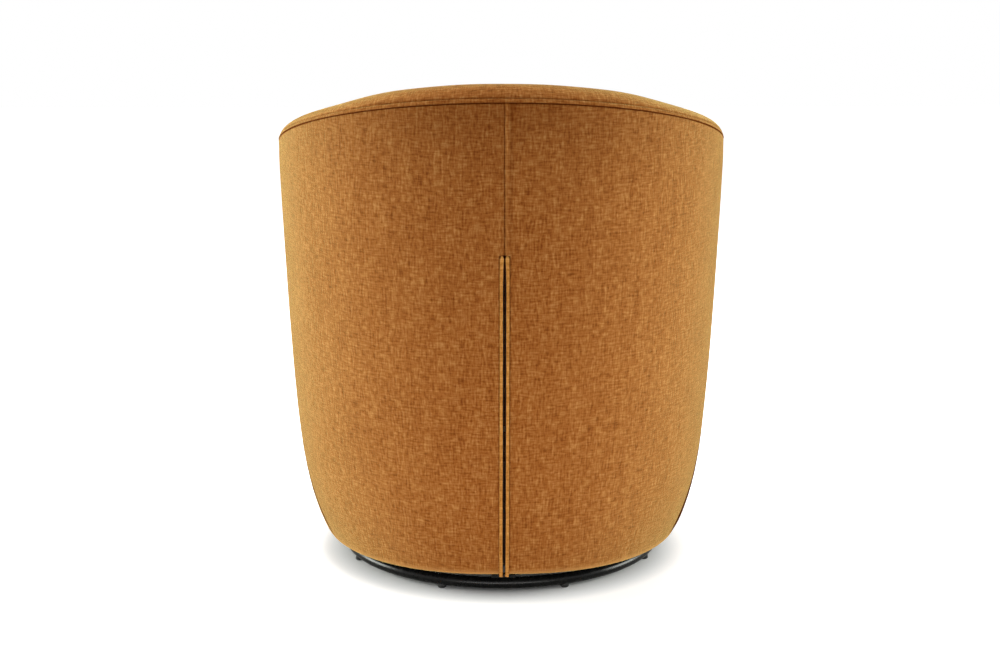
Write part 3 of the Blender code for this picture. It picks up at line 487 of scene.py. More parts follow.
class Graph:
    """A shader node tree under construction."""

    def __init__(self, tree: bpy.types.NodeTree) -> None:
        """Hold a node tree."""
        self.tree = tree

    def add(self, kind: str, **settings: object) -> bpy.types.Node:
        """Add a node.

        Args:
            kind: Blender's name of the node's type.
            **settings: Properties to set on it.

        Returns:
            The node.
        """
        node = self.tree.nodes.new(kind)
        for key, value in settings.items():
            setattr(node, key, value)
        return node

    def put(self, value: object, socket: Socket) -> None:
        """Link a socket to another one, or set its value.

        Args:
            value: Output socket to link, plain value to set, or None to leave the socket alone. A
                colour of three parts is opaque.
            socket: Input socket.
        """
        if isinstance(value, bpy.types.NodeSocket):
            self.tree.links.new(value, socket)
        elif value is not None:
            socket.default_value = (*value, 1.0) if socket.type == "RGBA" and len(value) == 3 else value

    def math(self, operation: str, first: object, second: object = None, clamp: bool = False) -> Socket:
        """Add a Math node.

        Args:
            operation: What the node works out.
            first: First value.
            second: Second value, where the operation has one.
            clamp: Whether the result is held between 0 and 1.

        Returns:
            The result.
        """
        node = self.add("ShaderNodeMath", operation=operation, use_clamp=clamp)
        self.put(first, node.inputs[0])
        self.put(second, node.inputs[1])
        return node.outputs[0]

    def plus(self, first: object, second: object, clamp: bool = False) -> Socket:
        """Return the sum of two values."""
        return self.math("ADD", first, second, clamp)

    def times(self, first: object, second: object) -> Socket:
        """Return the product of two values."""
        return self.math("MULTIPLY", first, second)

    def scaled(self, vector: Socket, factors: tuple[float, float, float]) -> Socket:
        """Multiply a vector.

        Args:
            vector: Vector.
            factors: One factor for each axis.

        Returns:
            The product.
        """
        node = self.add("ShaderNodeVectorMath", operation="MULTIPLY")
        self.put(vector, node.inputs[0])
        self.put(factors, node.inputs[1])
        return node.outputs[0]

    def counted(self, vector: Socket, size: Socket) -> Socket:
        """Measure a vector in units of a size.

        Args:
            vector: Vector in metres.
            size: Size of one unit in metres.

        Returns:
            The vector over the size.
        """
        node = self.add("ShaderNodeVectorMath", operation="SCALE")
        self.put(vector, node.inputs[0])
        self.put(self.math("DIVIDE", 1.0, size), node.inputs["Scale"])
        return node.outputs[0]

    def noise(self, vector: Socket, detail: float = 2.0, roughness: float = 0.5) -> Socket:
        """Add a noise texture.

        Args:
            vector: Where it is read.
            detail: Number of finer layers.
            roughness: Share of the finer layers.

        Returns:
            Its value, which lies about a half.
        """
        node = self.add("ShaderNodeTexNoise")
        for key, value in (("Vector", vector), ("Scale", 1.0), ("Detail", detail), ("Roughness", roughness)):
            self.put(value, node.inputs[key])
        return node.outputs["Fac"]

    def spread(self, value: Socket, low: float, high: float, to_low: float = 0.0, to_high: float = 1.0) -> Socket:
        """Map a range of a value to another range in a straight line, clamped at both ends.

        Args:
            value: Value.
            low: Start of the value's range.
            high: End of the value's range.
            to_low: Result at the start.
            to_high: Result at the end.

        Returns:
            The result.
        """
        node = self.add("ShaderNodeMapRange")
        keys = ("Value", "From Min", "From Max", "To Min", "To Max")
        for key, number in zip(keys, (value, low, high, to_low, to_high)):
            self.put(number, node.inputs[key])
        return node.outputs["Result"]

    def mix(self, factor: object, first: object, second: object) -> Socket:
        """Mix two colours.

        Args:
            factor: Share of the second colour.
            first: First colour.
            second: Second colour.

        Returns:
            The mixed colour.
        """
        node = self.add("ShaderNodeMix", data_type="RGBA")
        self.put(factor, node.inputs["Factor"])
        ends = [socket for socket in node.inputs if socket.type == "RGBA"]
        for value, socket in zip((first, second), ends):
            self.put(value, socket)
        return [socket for socket in node.outputs if socket.type == "RGBA"][0]

    def bump(self, height: Socket, distance: float) -> Socket:
        """Add a Bump node at full strength.

        Args:
            height: Height of the relief.
            distance: Metres that a height of 1 stands for.

        Returns:
            The bent normal.
        """
        node = self.add("ShaderNodeBump")
        node.inputs["Strength"].default_value = 1.0
        node.inputs["Distance"].default_value = distance
        self.put(height, node.inputs["Height"])
        return node.outputs["Normal"]

    def dress(self, shader: bpy.types.Node, tree: bpy.types.NodeTree, relief: float, **values: object) -> None:
        """Give a shader the colour, the roughness and the relief of a node group.

        Args:
            shader: Principled shader to dress.
            tree: Node group with outputs Color, Roughness and Height.
            relief: Height in metres that the group's Height of 1 stands for.
            **values: The group's inputs by name, in small letters.
        """
        node = self.add("ShaderNodeGroup", node_tree=tree)
        for key, value in values.items():
            self.put(value, node.inputs[key.title()])
        self.put(node.outputs["Color"], shader.inputs["Base Color"])
        self.put(node.outputs["Roughness"], shader.inputs["Roughness"])
        self.put(self.bump(node.outputs["Height"], relief), shader.inputs["Normal"])


def new_group(name: str, **inputs: str) -> tuple[Graph, Sequence[Socket], Sequence[Socket]]:
    """Start a shader node group that puts out a colour, a roughness and a height.

    Args:
        name: Name of the group.
        **inputs: Name of each input, in small letters, and its kind: Float, Vector or Color.

    Returns:
        The group's graph, the sockets that give its inputs, and those that end it.
    """
    tree = bpy.data.node_groups.new(name, "ShaderNodeTree")
    outputs = {"Color": "Color", "Roughness": "Float", "Height": "Float"}
    for way, sockets in (("INPUT", inputs), ("OUTPUT", outputs)):
        for label, kind in sockets.items():
            tree.interface.new_socket(label.title(), in_out=way, socket_type=f"NodeSocket{kind}")
    graph = Graph(tree)
    return graph, graph.add("NodeGroupInput").outputs, graph.add("NodeGroupOutput").inputs


THREADS = (  # yarns across, detail, roughness and weight of the warp, the weft, the bands and the flecks
    ((0.50, 0.11, 1.0), 1.0, 0.5, 2.1),
    ((0.10, 0.50, 1.0), 1.0, 0.5, 1.9),
    ((0.17, 0.014, 1.0), 2.0, 0.5, 0.8),
    ((0.50, 0.42, 1.0), 1.0, 0.7, 0.7),
)
CLOUD_ACROSS = (0.055, 0.016, 1.0)
CLOTH_ROUGHNESS = (0.98, 0.80)  # of the darkest and of the lightest yarn
YARN_RELIEF, SLUB_RELIEF = 0.22, 1.3
GRAIN_ACROSS, SCRATCH_ACROSS = (14.0, 14.0, 14.0), (3.0, 30.0, 1.0)
SCRATCH_WEAR, SCRATCH_RELIEF = 0.4, 0.5
WEAR_RANGE, PATCH_RANGE = (0.55, 0.95), (0.3, 0.7)


def woven_group() -> bpy.types.NodeTree:
    """Build the group that weaves heathered yarn.

    Warp and weft are noises stretched along V and along U, bands are a slow
    warp, flecks a fine even noise, and clouds a slow one. Their weighted sum
    about a half picks a colour from dark through middle to light. Tone paints
    shade into the seams and creases and paints highlights onto the folds: a
    negative tone mixes towards the painted shade colour and a positive one
    towards the light yarn. The relief is the product of two waves across the
    yarns plus the same sum.

    Returns:
        The node group.
    """
    graph, given, end = new_group(
        "heathered_weave", vector="Vector", yarn="Float", slub="Float", cloud="Float", tone="Float",
        dark="Color", middle="Color", light="Color",
    )
    yarns = graph.counted(given["Vector"], given["Yarn"])
    cloud = graph.noise(graph.scaled(yarns, CLOUD_ACROSS), detail=3.0, roughness=0.6)
    total = 0.5
    for across, detail, roughness, weight in THREADS:
        centred = graph.math("SUBTRACT", graph.noise(graph.scaled(yarns, across), detail, roughness), 0.5)
        total = graph.plus(graph.times(centred, graph.times(given["Slub"], weight)), total)
    clouds = graph.times(graph.math("SUBTRACT", cloud, 0.5), given["Cloud"])
    tone = graph.plus(total, clouds, clamp=True)
    darker = graph.mix(graph.spread(tone, 0.0, 0.5), given["Dark"], given["Middle"])
    woven = graph.mix(graph.spread(tone, 0.5, 1.0), darker, given["Light"])
    # Painted highlight: a positive tone mixes the weave towards the light yarn.
    with_painted_highlight = graph.mix(graph.spread(given["Tone"], 0.0, 1.0), woven, given["Light"])
    # Painted shade: a negative tone mixes it towards the painted shade colour.
    graph.put(graph.mix(graph.spread(given["Tone"], 0.0, -1.0), with_painted_highlight, PAINTED_SHADE_COLOUR), end["Color"])
    graph.put(graph.spread(tone, 0.0, 1.0, *CLOTH_ROUGHNESS), end["Roughness"])
    parts = graph.add("ShaderNodeSeparateXYZ")
    graph.put(graph.scaled(yarns, (math.tau, math.tau, 1.0)), parts.inputs[0])
    weave = graph.times(*(graph.math("SINE", part) for part in parts.outputs[:2]))
    graph.put(graph.plus(graph.times(weave, YARN_RELIEF), graph.times(tone, SLUB_RELIEF)), end["Height"])
    return graph.tree


def mottled_group() -> bpy.types.NodeTree:
    """Build the group that varies a hard surface: slow patches, fine grain and fine scratches.

    Returns:
        The node group, which puts out a tinted colour, a roughness and a height.
    """
    graph, given, end = new_group(
        "mottled_surface", vector="Vector", size="Float", base="Color", worn="Color", smooth="Float", rough="Float"
    )
    sized = graph.counted(given["Vector"], given["Size"])
    patches = graph.noise(sized, detail=4.0, roughness=0.6)
    grain = graph.noise(graph.scaled(sized, GRAIN_ACROSS))
    scratch = graph.noise(graph.scaled(sized, SCRATCH_ACROSS))
    mask = graph.spread(graph.plus(graph.times(scratch, SCRATCH_WEAR), patches), *WEAR_RANGE)
    graph.put(graph.mix(mask, given["Base"], given["Worn"]), end["Color"])
    span = graph.math("SUBTRACT", given["Rough"], given["Smooth"])
    graph.put(graph.plus(given["Smooth"], graph.times(graph.spread(patches, *PATCH_RANGE), span)), end["Roughness"])
    graph.put(graph.plus(grain, graph.times(scratch, SCRATCH_RELIEF)), end["Height"])
    return graph.tree


@dataclass(frozen=True)
class Finish:
    """What every finish has: a name, and a Principled shader set by its own values."""

    name: str
    roughness: float = 0.5
    metallic: float = 0.0

    def start(self, **values: object) -> tuple[Graph, bpy.types.Node]:
        """Return a new material's graph and its Principled shader.

        Args:
            **values: Plain values of the shader's own sockets, with _ for a space.

        Returns:
            The graph and the shader.
        """
        material = bpy.data.materials.new(self.name)
        material.use_nodes = True
        graph = Graph(material.node_tree)
        shader = material.node_tree.nodes["Principled BSDF"]
        for key, value in {"Roughness": self.roughness, "Metallic": self.metallic, **values}.items():
            graph.put(value, shader.inputs[key.replace("_", " ")])
        return graph, shader

    def material(self) -> bpy.types.Material:
        """Find the finish's material, or make it on its first use.

        Returns:
            The material.
        """
        if self.name not in bpy.data.materials:
            self.make()
        return bpy.data.materials[self.name]

    def make(self) -> None:
        """Build the material. Each kind of finish has its own way."""
        raise NotImplementedError(self.name)

    def inputs(self, *names: str) -> dict[str, object]:
        """Return the finish's own values of some names, for the inputs of its node group."""
        return {name: getattr(self, name) for name in names}


def shared_group(name: str, build: Callable[[], bpy.types.NodeTree]) -> bpy.types.NodeTree:
    """Return a node group by name, and build it on its first use."""
    return bpy.data.node_groups.get(name) or build()


@dataclass(frozen=True)
class Woven(Finish):
    """Cloth of heathered yarn, whose nap shines at a low angle."""

    dark: Colour = (0.170, 0.037, 0.0035)
    middle: Colour = (0.335, 0.106, 0.0197)
    light: Colour = (0.51, 0.225, 0.063)
    yarn: float = 0.00148
    slub: float = 0.57
    cloud: float = 0.32
    relief: float = 0.0005
    sheen: float = 0.80
    sheen_roughness: float = 0.42
    sheen_tint: Colour = (1.0, 0.86, 0.31)
    specular: float = 0.05

    def make(self) -> None:
        """Build the cloth from the weave group, on the piece's own UV map."""
        graph, shader = self.start(
            Specular_IOR_Level=self.specular,
            Sheen_Weight=self.sheen,
            Sheen_Roughness=self.sheen_roughness,
            Sheen_Tint=self.sheen_tint,
        )
        graph.dress(
            shader,
            shared_group("heathered_weave", woven_group),
            self.relief,
            vector=graph.add("ShaderNodeUVMap", uv_map=UV_NAME).outputs[0],
            tone=graph.add("ShaderNodeAttribute", attribute_name=TONE_NAME).outputs["Fac"],
            **self.inputs("yarn", "slub", "cloud", "dark", "middle", "light"),
        )


@dataclass(frozen=True)
class Hard(Finish):
    """Paint, plate or moulded plastic, with patches, grain and light wear."""

    base: Colour = (0.5, 0.5, 0.5)
    worn: Colour = (0.6, 0.6, 0.6)
    rougher: float = 0.6
    size: float = 0.012
    relief: float = 0.00002
    shine: float = 0.5

    def make(self) -> None:
        """Build the surface from the mottle group, on Object coordinates."""
        graph, shader = self.start(Specular_IOR_Level=self.shine)
        graph.dress(
            shader,
            shared_group("mottled_surface", mottled_group),
            self.relief,
            vector=graph.add("ShaderNodeTexCoord").outputs["Object"],
            smooth=self.roughness,
            rough=self.rougher,
            **self.inputs("size", "base", "worn"),
        )


@dataclass(frozen=True)
class Plywood(Finish):
    """Birch plywood: long grain on its faces, and its plies as bands at heights."""

    pale: Colour = (0.62, 0.44, 0.25)
    grain: Colour = (0.42, 0.26, 0.12)
    ply: float = 0.0015
    ply_weight: float = 0.10
    grain_across: tuple[float, float, float] = (6.0, 90.0, 12.0)
    grain_range: tuple[float, float] = (0.35, 0.75)
    streak_range: tuple[float, float] = (0.3, 0.7)
    roughness_range: tuple[float, float] = (0.55, 0.75)
    relief: float = 0.0001

    def make(self) -> None:
        """Build the wood on Object coordinates: grain along X, and plies across Z."""
        graph, shader = self.start()
        where = graph.add("ShaderNodeTexCoord").outputs["Object"]
        streaks = graph.noise(graph.scaled(where, self.grain_across), detail=4.0, roughness=0.6)
        parts = graph.add("ShaderNodeSeparateXYZ")
        graph.put(where, parts.inputs[0])
        plies = graph.math("SINE", graph.times(parts.outputs[2], math.tau / (2 * self.ply)))
        mask = graph.spread(graph.plus(graph.times(plies, self.ply_weight), streaks), *self.grain_range)
        graph.put(graph.mix(mask, self.pale, self.grain), shader.inputs["Base Color"])
        graph.put(graph.spread(streaks, *self.streak_range, *self.roughness_range), shader.inputs["Roughness"])
        graph.put(graph.bump(streaks, self.relief), shader.inputs["Normal"])


@dataclass(frozen=True)
class Spun(Finish):
    """Thin spun cloth, tape or webbing on a frame node."""

    base: Colour = (0.02, 0.02, 0.02)
    fibre: Colour = (0.05, 0.05, 0.05)
    size: float = 0.0008
    fibre_across: tuple[float, float, float] = (1.0, 0.2, 1.0)
    fibre_range: tuple[float, float] = (0.35, 0.7)
    dimple_across: tuple[float, float, float] = (0.4, 0.4, 0.4)
    dimple_weight: float = 0.6
    relief: float = 0.0002
    shine: float = 0.2

    def make(self) -> None:
        """Build the cloth on Object coordinates: long fibres, and dimples between them."""
        graph, shader = self.start(Specular_IOR_Level=self.shine)
        where = graph.add("ShaderNodeTexCoord").outputs["Object"]
        fine = graph.scaled(where, (1.0 / self.size,) * 3)
        fibres = graph.noise(graph.scaled(fine, self.fibre_across), detail=3.0, roughness=0.7)
        dimples = graph.add("ShaderNodeTexVoronoi")
        graph.put(graph.scaled(fine, self.dimple_across), dimples.inputs["Vector"])
        dimples.inputs["Scale"].default_value = 1.0
        relief = graph.plus(fibres, graph.times(dimples.outputs["Distance"], self.dimple_weight))
        mask = graph.spread(fibres, *self.fibre_range)
        graph.put(graph.mix(mask, self.base, self.fibre), shader.inputs["Base Color"])
        graph.put(graph.bump(relief, self.relief), shader.inputs["Normal"])


CHENILLE = Woven("ochre_chenille", roughness=0.9)
# A shaded copy of the chenille without sheen, for the faces deep in the seams: painted seam shade.
CHENILLE_SEAM_SHADE = Woven("ochre_chenille_pressed", roughness=0.9, sheen=0.0, specular=0.03)
# A lighter copy of the same chenille for the zip's folded lips and other cloth nodes: painted light on the folds.
CHENILLE_LIT_FOLD = Woven(
    "ochre_chenille_fold",
    roughness=0.9,
    sheen=0.15,
    slub=0.6,
    cloud=0.3,
    dark=(0.34, 0.115, 0.020),
    middle=(0.56, 0.235, 0.050),
    light=(0.72, 0.36, 0.10),
)
CHENILLE_PIPING = Woven(
    "ochre_chenille_piping",
    roughness=0.9,
    slub=0.7,
    cloud=0.3,
    dark=(0.24, 0.065, 0.008),
    middle=(0.41, 0.145, 0.026),
    light=(0.58, 0.26, 0.07),
)
SEWING_THREAD = Woven(
    "rust_thread",
    roughness=0.7,
    dark=(0.16, 0.050, 0.008),
    middle=(0.26, 0.090, 0.016),
    light=(0.36, 0.14, 0.03),
    yarn=0.0004,
    relief=0.0001,
    sheen=0.2,
)
ZIP_TAPE = Spun("black_zip_tape", roughness=0.9, base=(0.012, 0.0045, 0.002), fibre=(0.028, 0.011, 0.006))
GLOSS_BLACK = Hard(
    "gloss_black_paint",
    roughness=0.22,
    rougher=0.32,
    base=(0.004, 0.004, 0.004),
    worn=(0.008, 0.008, 0.008),
    shine=0.2,
)
ZINC = Hard(
    "bright_zinc", roughness=0.28, rougher=0.45, metallic=1.0, base=(0.62, 0.62, 0.60), worn=(0.48, 0.49, 0.50)
)
BLACK_PLASTIC = Hard("black_moulded", roughness=0.45, rougher=0.6, base=(0.015, 0.015, 0.015), worn=(0.03, 0.03, 0.03))
WHITE_PLASTIC = Hard("natural_moulded", roughness=0.4, rougher=0.55, base=(0.75, 0.75, 0.72), worn=(0.68, 0.68, 0.64))
BIRCH = Plywood("birch_plywood", roughness=0.65)
WEBBING = Spun("black_webbing", roughness=0.85, base=(0.04, 0.04, 0.04), fibre=(0.08, 0.08, 0.08), size=0.0015)
DUST_CLOTH = Spun("black_spun_cloth", roughness=0.95)

NODE_FINISHES: dict[str, Finish] = {
    "gloss_black_steel": GLOSS_BLACK,
    "zinc_steel": ZINC,
    "black_plastic": BLACK_PLASTIC,
    "white_plastic": WHITE_PLASTIC,
    "plywood": BIRCH,
    "webbing": WEBBING,
    "dust_cloth": DUST_CLOTH,
    "zip_tape": ZIP_TAPE,
}


# The chair's form


@dataclass(frozen=True)
class BarrelForm:
    """The outer form of the covers and the rim, from one set of sizes."""

    radius: float = 0.3541
    taper: float = 0.0639
    back_taper: float = 0.0541
    hem_height: float = 0.045
    hem_dip: float = 0.0045
    widest_height: float = 0.650
    long_taper_share: float = 0.493
    long_taper_power: float = 1.213
    short_taper_power: float = 7.9
    back_seam_height: float = 0.767
    side_seam_height: float = 0.667
    wall: float = 0.089
    rim_rise_back: float = 0.0343
    rim_rise_side: float = 0.0235
    shoulder_dip: float = 0.0058
    shoulder_angle: float = 0.92
    shoulder_width: float = 0.30
    arm_angle: float = math.radians(118.0)
    side_seam_angle: float = math.radians(85.5)
    seam_sweep: float = math.radians(18.0)
    seam_sweep_height: float = 0.42
    seam_sweep_power: float = 3.0
    corner_repeats: int = 4

    @property
    def inner_radius(self) -> float:
        """Radius of the inside of the wall."""
        return self.radius - self.wall

    @property
    def arc_radius(self) -> float:
        """Radius of the upright arc down the centre of the back."""
        flare = self.widest_height - self.hem_height
        return (flare**2 + self.back_taper**2) / (2 * self.back_taper)

    def outer(self, angle: Array, height: Array) -> Array:
        """Outer radius of the covers.

        The sides taper by two powers of what is left of the height, the back's
        centre by one arc, and the square of cos a weighs the one against the
        other.

        Args:
            angle: Angles from the back.
            height: Heights.

        Returns:
            The radii.
        """
        left = 1.0 - clipped((height - self.hem_height) / (self.widest_height - self.hem_height))
        long_part = self.long_taper_share * left**self.long_taper_power
        short_part = (1.0 - self.long_taper_share) * left**self.short_taper_power
        side = (long_part + short_part) * self.taper
        drop = np.maximum(self.widest_height - height, 0.0)
        back = self.arc_radius - np.sqrt(self.arc_radius**2 - drop**2)
        weight = np.maximum(np.cos(angle), 0.0) ** 2
        return self.radius - (1.0 - weight) * side - weight * back

    def seam_height(self, radius: Array, angle: Array) -> Array:
        """Height of the rim's sloping plane: the side's height plus the slope times y."""
        slope = (self.back_seam_height - self.side_seam_height) / self.radius
        return self.side_seam_height + slope * radius * np.cos(angle)

    def hem(self, angle: Array) -> Array:
        """Height of the covers' hem, which dips as sin 2a between the back's centre and the sides."""
        return self.hem_height - self.hem_dip * np.sin(2 * np.clip(np.abs(angle), 0.0, math.pi / 2))

    def corner_radius(self, angle: Array) -> Array:
        """Radius where the covers meet the rim's plane, found by repeating the law.

        Args:
            angle: Angles from the back.

        Returns:
            The radii.
        """
        radius = self.radius * np.ones_like(angle)
        for _ in range(self.corner_repeats):
            radius = self.outer(angle, self.seam_height(radius, angle))
        return radius

    def rise(self, angle: Array) -> Array:
        """Height of the rim's roll above its plane, largest at the back and least at the two shoulders."""
        even = self.rim_rise_side + (self.rim_rise_back - self.rim_rise_side) * np.maximum(np.cos(angle), 0.0)
        return even - self.shoulder_dip * groove(np.abs(angle) - self.shoulder_angle, self.shoulder_width)

    def side_seam(self, height: Array) -> Array:
        """Angle of the side seam, which sweeps back below a height by a power of the share left."""
        left = clipped((self.seam_sweep_height - height) / (self.seam_sweep_height - self.hem_height))
        return self.side_seam_angle - self.seam_sweep * left**self.seam_sweep_power

    def on_back_arc(self, x: Array, depth: Array, height: Array) -> Array:
        """Points beside the centre line, at a depth from the back's arc.

        The arc's turn is the arcsine of the drop below the widest height over
        the arc's radius, and the point lies at the radius plus the depth.

        Args:
            x: Distances from the centre line.
            depth: Heights above the arc.
            height: Heights that set the turn.

        Returns:
            The points.
        """
        turn = np.arcsin((self.widest_height - height) / self.arc_radius)
        reach = self.arc_radius + depth
        y = self.radius - self.arc_radius + reach * np.cos(turn)
        return stacked(x, y, self.widest_height - reach * np.sin(turn))


FORM = BarrelForm()


# Upholstery


@dataclass(frozen=True)
class CoverCut:
    """How one cover is cut: its four edges, and what its first edge looks like."""

    name: str
    node: str
    start: Callable[[Array], Array]
    end: Callable[[Array], Array]
    seed: int
    at_centre: bool = False
    allowance: float = 0.0
    lap: float = 0.0


@dataclass
class OuterCovers:
    """The tight covers round the outside: two backs and two sides."""

    thickness: float = 0.0066
    least: float = 0.0015
    roll: float = 0.0019
    hem_roll: float = 0.0032
    seam_gap: float = 0.00003
    step: float = 0.0065
    calm: float = 0.03
    back_seed: int = 11
    side_seed: int = 31
    seed_step: int = 7
    zip_top: float = 0.546
    zip_edge: float = 0.0077
    zip_ease: float = 0.0015
    seam_shade: float = 0.0014
    centre_shade: float = 0.5
    zip_shade: float = 0.38
    hem_light: float = 0.0050
    hem_gain: float = 1.3
    allowance: float = 0.0085
    allowance_height: float = 0.0006
    allowance_ease: float = 0.0012
    ridge_place: float = 0.44
    ridge_width: float = 0.40
    ridge_least: float = 1e-6
    ridge_edge: float = 0.0014
    ridge_light: float = 0.55
    ridge_dark: float = 0.30
    rim_shade: float = 0.26
    rim_shade_reach: float = 0.07
    lap_left: float = 0.0012
    lap_right: float = 0.0032
    lap_low: float = 0.0465
    lap_top: float = 0.24
    lap_reach: float = 0.014
    lap_shade: float = 0.0024
    lap_faint: float = 0.0005
    lap_gain: float = 1.25
    lap_power: float = 1.3
    lap_cut: int = 20
    slack_height: float = 0.0011
    slack_length: float = 0.16
    pucker_height: float = 0.0006
    pucker_pitch: float = 0.024
    pucker_reach: float = 0.022

    def centre_edge(self, height: Array) -> Array:
        """X of the panel's centre edge: beside the zip below its top, and at the seam above."""
        share = clipped((self.zip_top + self.zip_ease - height) / self.zip_ease)
        return self.seam_gap + (self.zip_edge - self.seam_gap) * eased(share)

    def centre_angle(self, sign: int, height: Array) -> Array:
        """Angle of the edge beside the back's centre line."""
        return sign * np.arcsin(self.centre_edge(height) / FORM.outer(0.0, height))

    def seam_angle(self, sign: int, past: float, height: Array) -> Array:
        """Angle of an edge at a distance past the side seam."""
        return sign * (FORM.side_seam(height) + past / FORM.radius)

    def arm_angle(self, sign: int, height: Array) -> Array:
        """Angle of the edge beside the arm's front."""
        return sign * np.full_like(height, FORM.arm_angle - self.seam_gap / FORM.radius)

    def rim_edge(self, angle: Array) -> Array:
        """Height of the edge beneath the rim."""
        return FORM.seam_height(FORM.corner_radius(angle), angle) - self.seam_gap

    def lap_rise(self, height: Array, most: float) -> Array:
        """How far a side's edge laps proud of the back: low down, a power of the share left, cut off at the hem."""
        share = clipped((self.lap_top - height) / (self.lap_top - self.lap_low))
        return self.lap_gain * most * share**self.lap_power * (1.0 - share**self.lap_cut)

    def cuts(self) -> list[CoverCut]:
        """Cut the four covers: on each side a back, and a side from its seam to the arm's front.

        Returns:
            The cuts.
        """
        found = []
        for number, side in enumerate(Side):
            sign, label = side.value, side.label
            allowance, lap = (0.0, self.lap_left) if side is Side.LEFT else (self.allowance, self.lap_right)
            centre, arm = partial(self.centre_angle, sign), partial(self.arm_angle, sign)
            before = partial(self.seam_angle, sign, -self.seam_gap)
            after = partial(self.seam_angle, sign, self.seam_gap)
            seed = self.seed_step * number
            back = (f"cover_back_{label}", f"outer_back_{label}", centre, before, self.back_seed + seed)
            flank = (f"cover_side_{label}", f"outer_side_{label}", after, arm, self.side_seed + seed)
            found.append(CoverCut(*back, at_centre=True, allowance=allowance))
            found.append(CoverCut(*flank, lap=lap))
        return found

    def panel(self, cut: CoverCut) -> bpy.types.Mesh:
        """Build one cover as a closed sheet.

        A point has the barrel's radius at its angle and height, less the rolled
        edges, plus slow slack, small gathers beside the seams, the folded
        allowance beside the centre seam and the lap over the side seam.

        Args:
            cut: How the cover is cut.

        Returns:
            The mesh.
        """
        middle = np.array([FORM.widest_height / 2])
        first, last = float(cut.start(middle)[0]), float(cut.end(middle)[0])
        width = abs(last - first) * FORM.radius
        share = shares(width, self.step, self.roll)[None, :]
        nominal = first + (last - first) * share
        bottom, top = FORM.hem, self.rim_edge
        tall = float(np.max(top(nominal)) - FORM.hem_height)
        level = shares(tall, self.step, self.hem_roll, (self.zip_top - FORM.hem_height,))[:, None]
        guess = bottom(nominal) + level * (top(nominal) - bottom(nominal))
        edge_a, edge_b = cut.start(guess), cut.end(guess)
        angle = edge_a + (edge_b - edge_a) * share
        height = bottom(angle) + level * (top(angle) - bottom(angle))
        radius = FORM.outer(angle, height)
        from_start, from_end = np.abs(angle - edge_a) * radius, np.abs(edge_b - angle) * radius
        below_top, above_hem = top(angle) - height, height - bottom(angle)
        seams = smallest(from_start, from_end, below_top)
        depth = np.maximum(rolled(seams, self.roll), rolled(above_hem, self.hem_roll))
        calm = calmed(np.minimum(seams, above_hem), self.calm)
        bulge = self.slack_height * calm * slack(angle * FORM.radius, height, self.slack_length, cut.seed)
        folded = clipped((cut.allowance - from_start) / self.allowance_ease) * (height > self.zip_top)
        lap = self.lap_rise(height, cut.lap)
        bulge = bulge + self.allowance_height * folded + lap * np.exp(-from_start / self.lap_reach)
        for distance, along, offset in ((below_top, angle * FORM.radius, 1), (from_start, height, 2)):
            gathers = puckers(distance, along, self.pucker_pitch, self.pucker_reach, cut.seed + offset)
            bulge -= self.pucker_height * gathers
        outer = polar(radius - depth + bulge, angle, height)
        inner = polar(radius - np.maximum(depth + self.least, self.thickness), angle, height)
        # Painted shade in the seams: full beside the side seam and the rim, less beside the centre seam and the zip.
        shaded = np.where(height < self.zip_top, self.zip_shade, self.centre_shade) if cut.at_centre else 1.0
        seam_dark = groove(np.minimum(from_end, below_top), self.seam_shade)
        seam_dark = np.maximum(seam_dark, shaded * groove(from_start, self.seam_shade))
        # Painted shadow on the edge of the side cover where it laps proud of the back.
        painted_lap_shade = groove(from_start, self.lap_shade) * clipped(lap / self.lap_faint)
        # Painted highlight along the hem's rolled edge.
        hem = clipped(self.hem_gain * groove(above_hem, self.hem_light))
        # Painted highlight on the folded allowance beside the centre seam, and painted shade at its edge.
        ridge_width = self.ridge_width * cut.allowance + self.ridge_least
        painted_ridge_tone = self.ridge_light * groove(from_start - self.ridge_place * cut.allowance, ridge_width)
        painted_ridge_tone = painted_ridge_tone - self.ridge_dark * groove(from_start - cut.allowance, self.ridge_edge)
        painted_ridge_tone = painted_ridge_tone * (height > self.zip_top) * (cut.allowance > 0.0)
        # Painted shade below the rim, strongest at the back's centre and fading downwards.
        painted_under_rim_shade = self.rim_shade * groove(below_top, self.rim_shade_reach) * np.maximum(np.cos(angle), 0.0) ** 2
        tone = hem + painted_ridge_tone - np.maximum(np.maximum(seam_dark, painted_lap_shade), painted_under_rim_shade)
        return Skin(cut.name).shell(outer, inner, stacked(angle * FORM.radius, height), tone).mesh()

    def build(self) -> None:
        for cut in self.cuts():
            upholster(cut.name, self.panel(cut), cut.node)


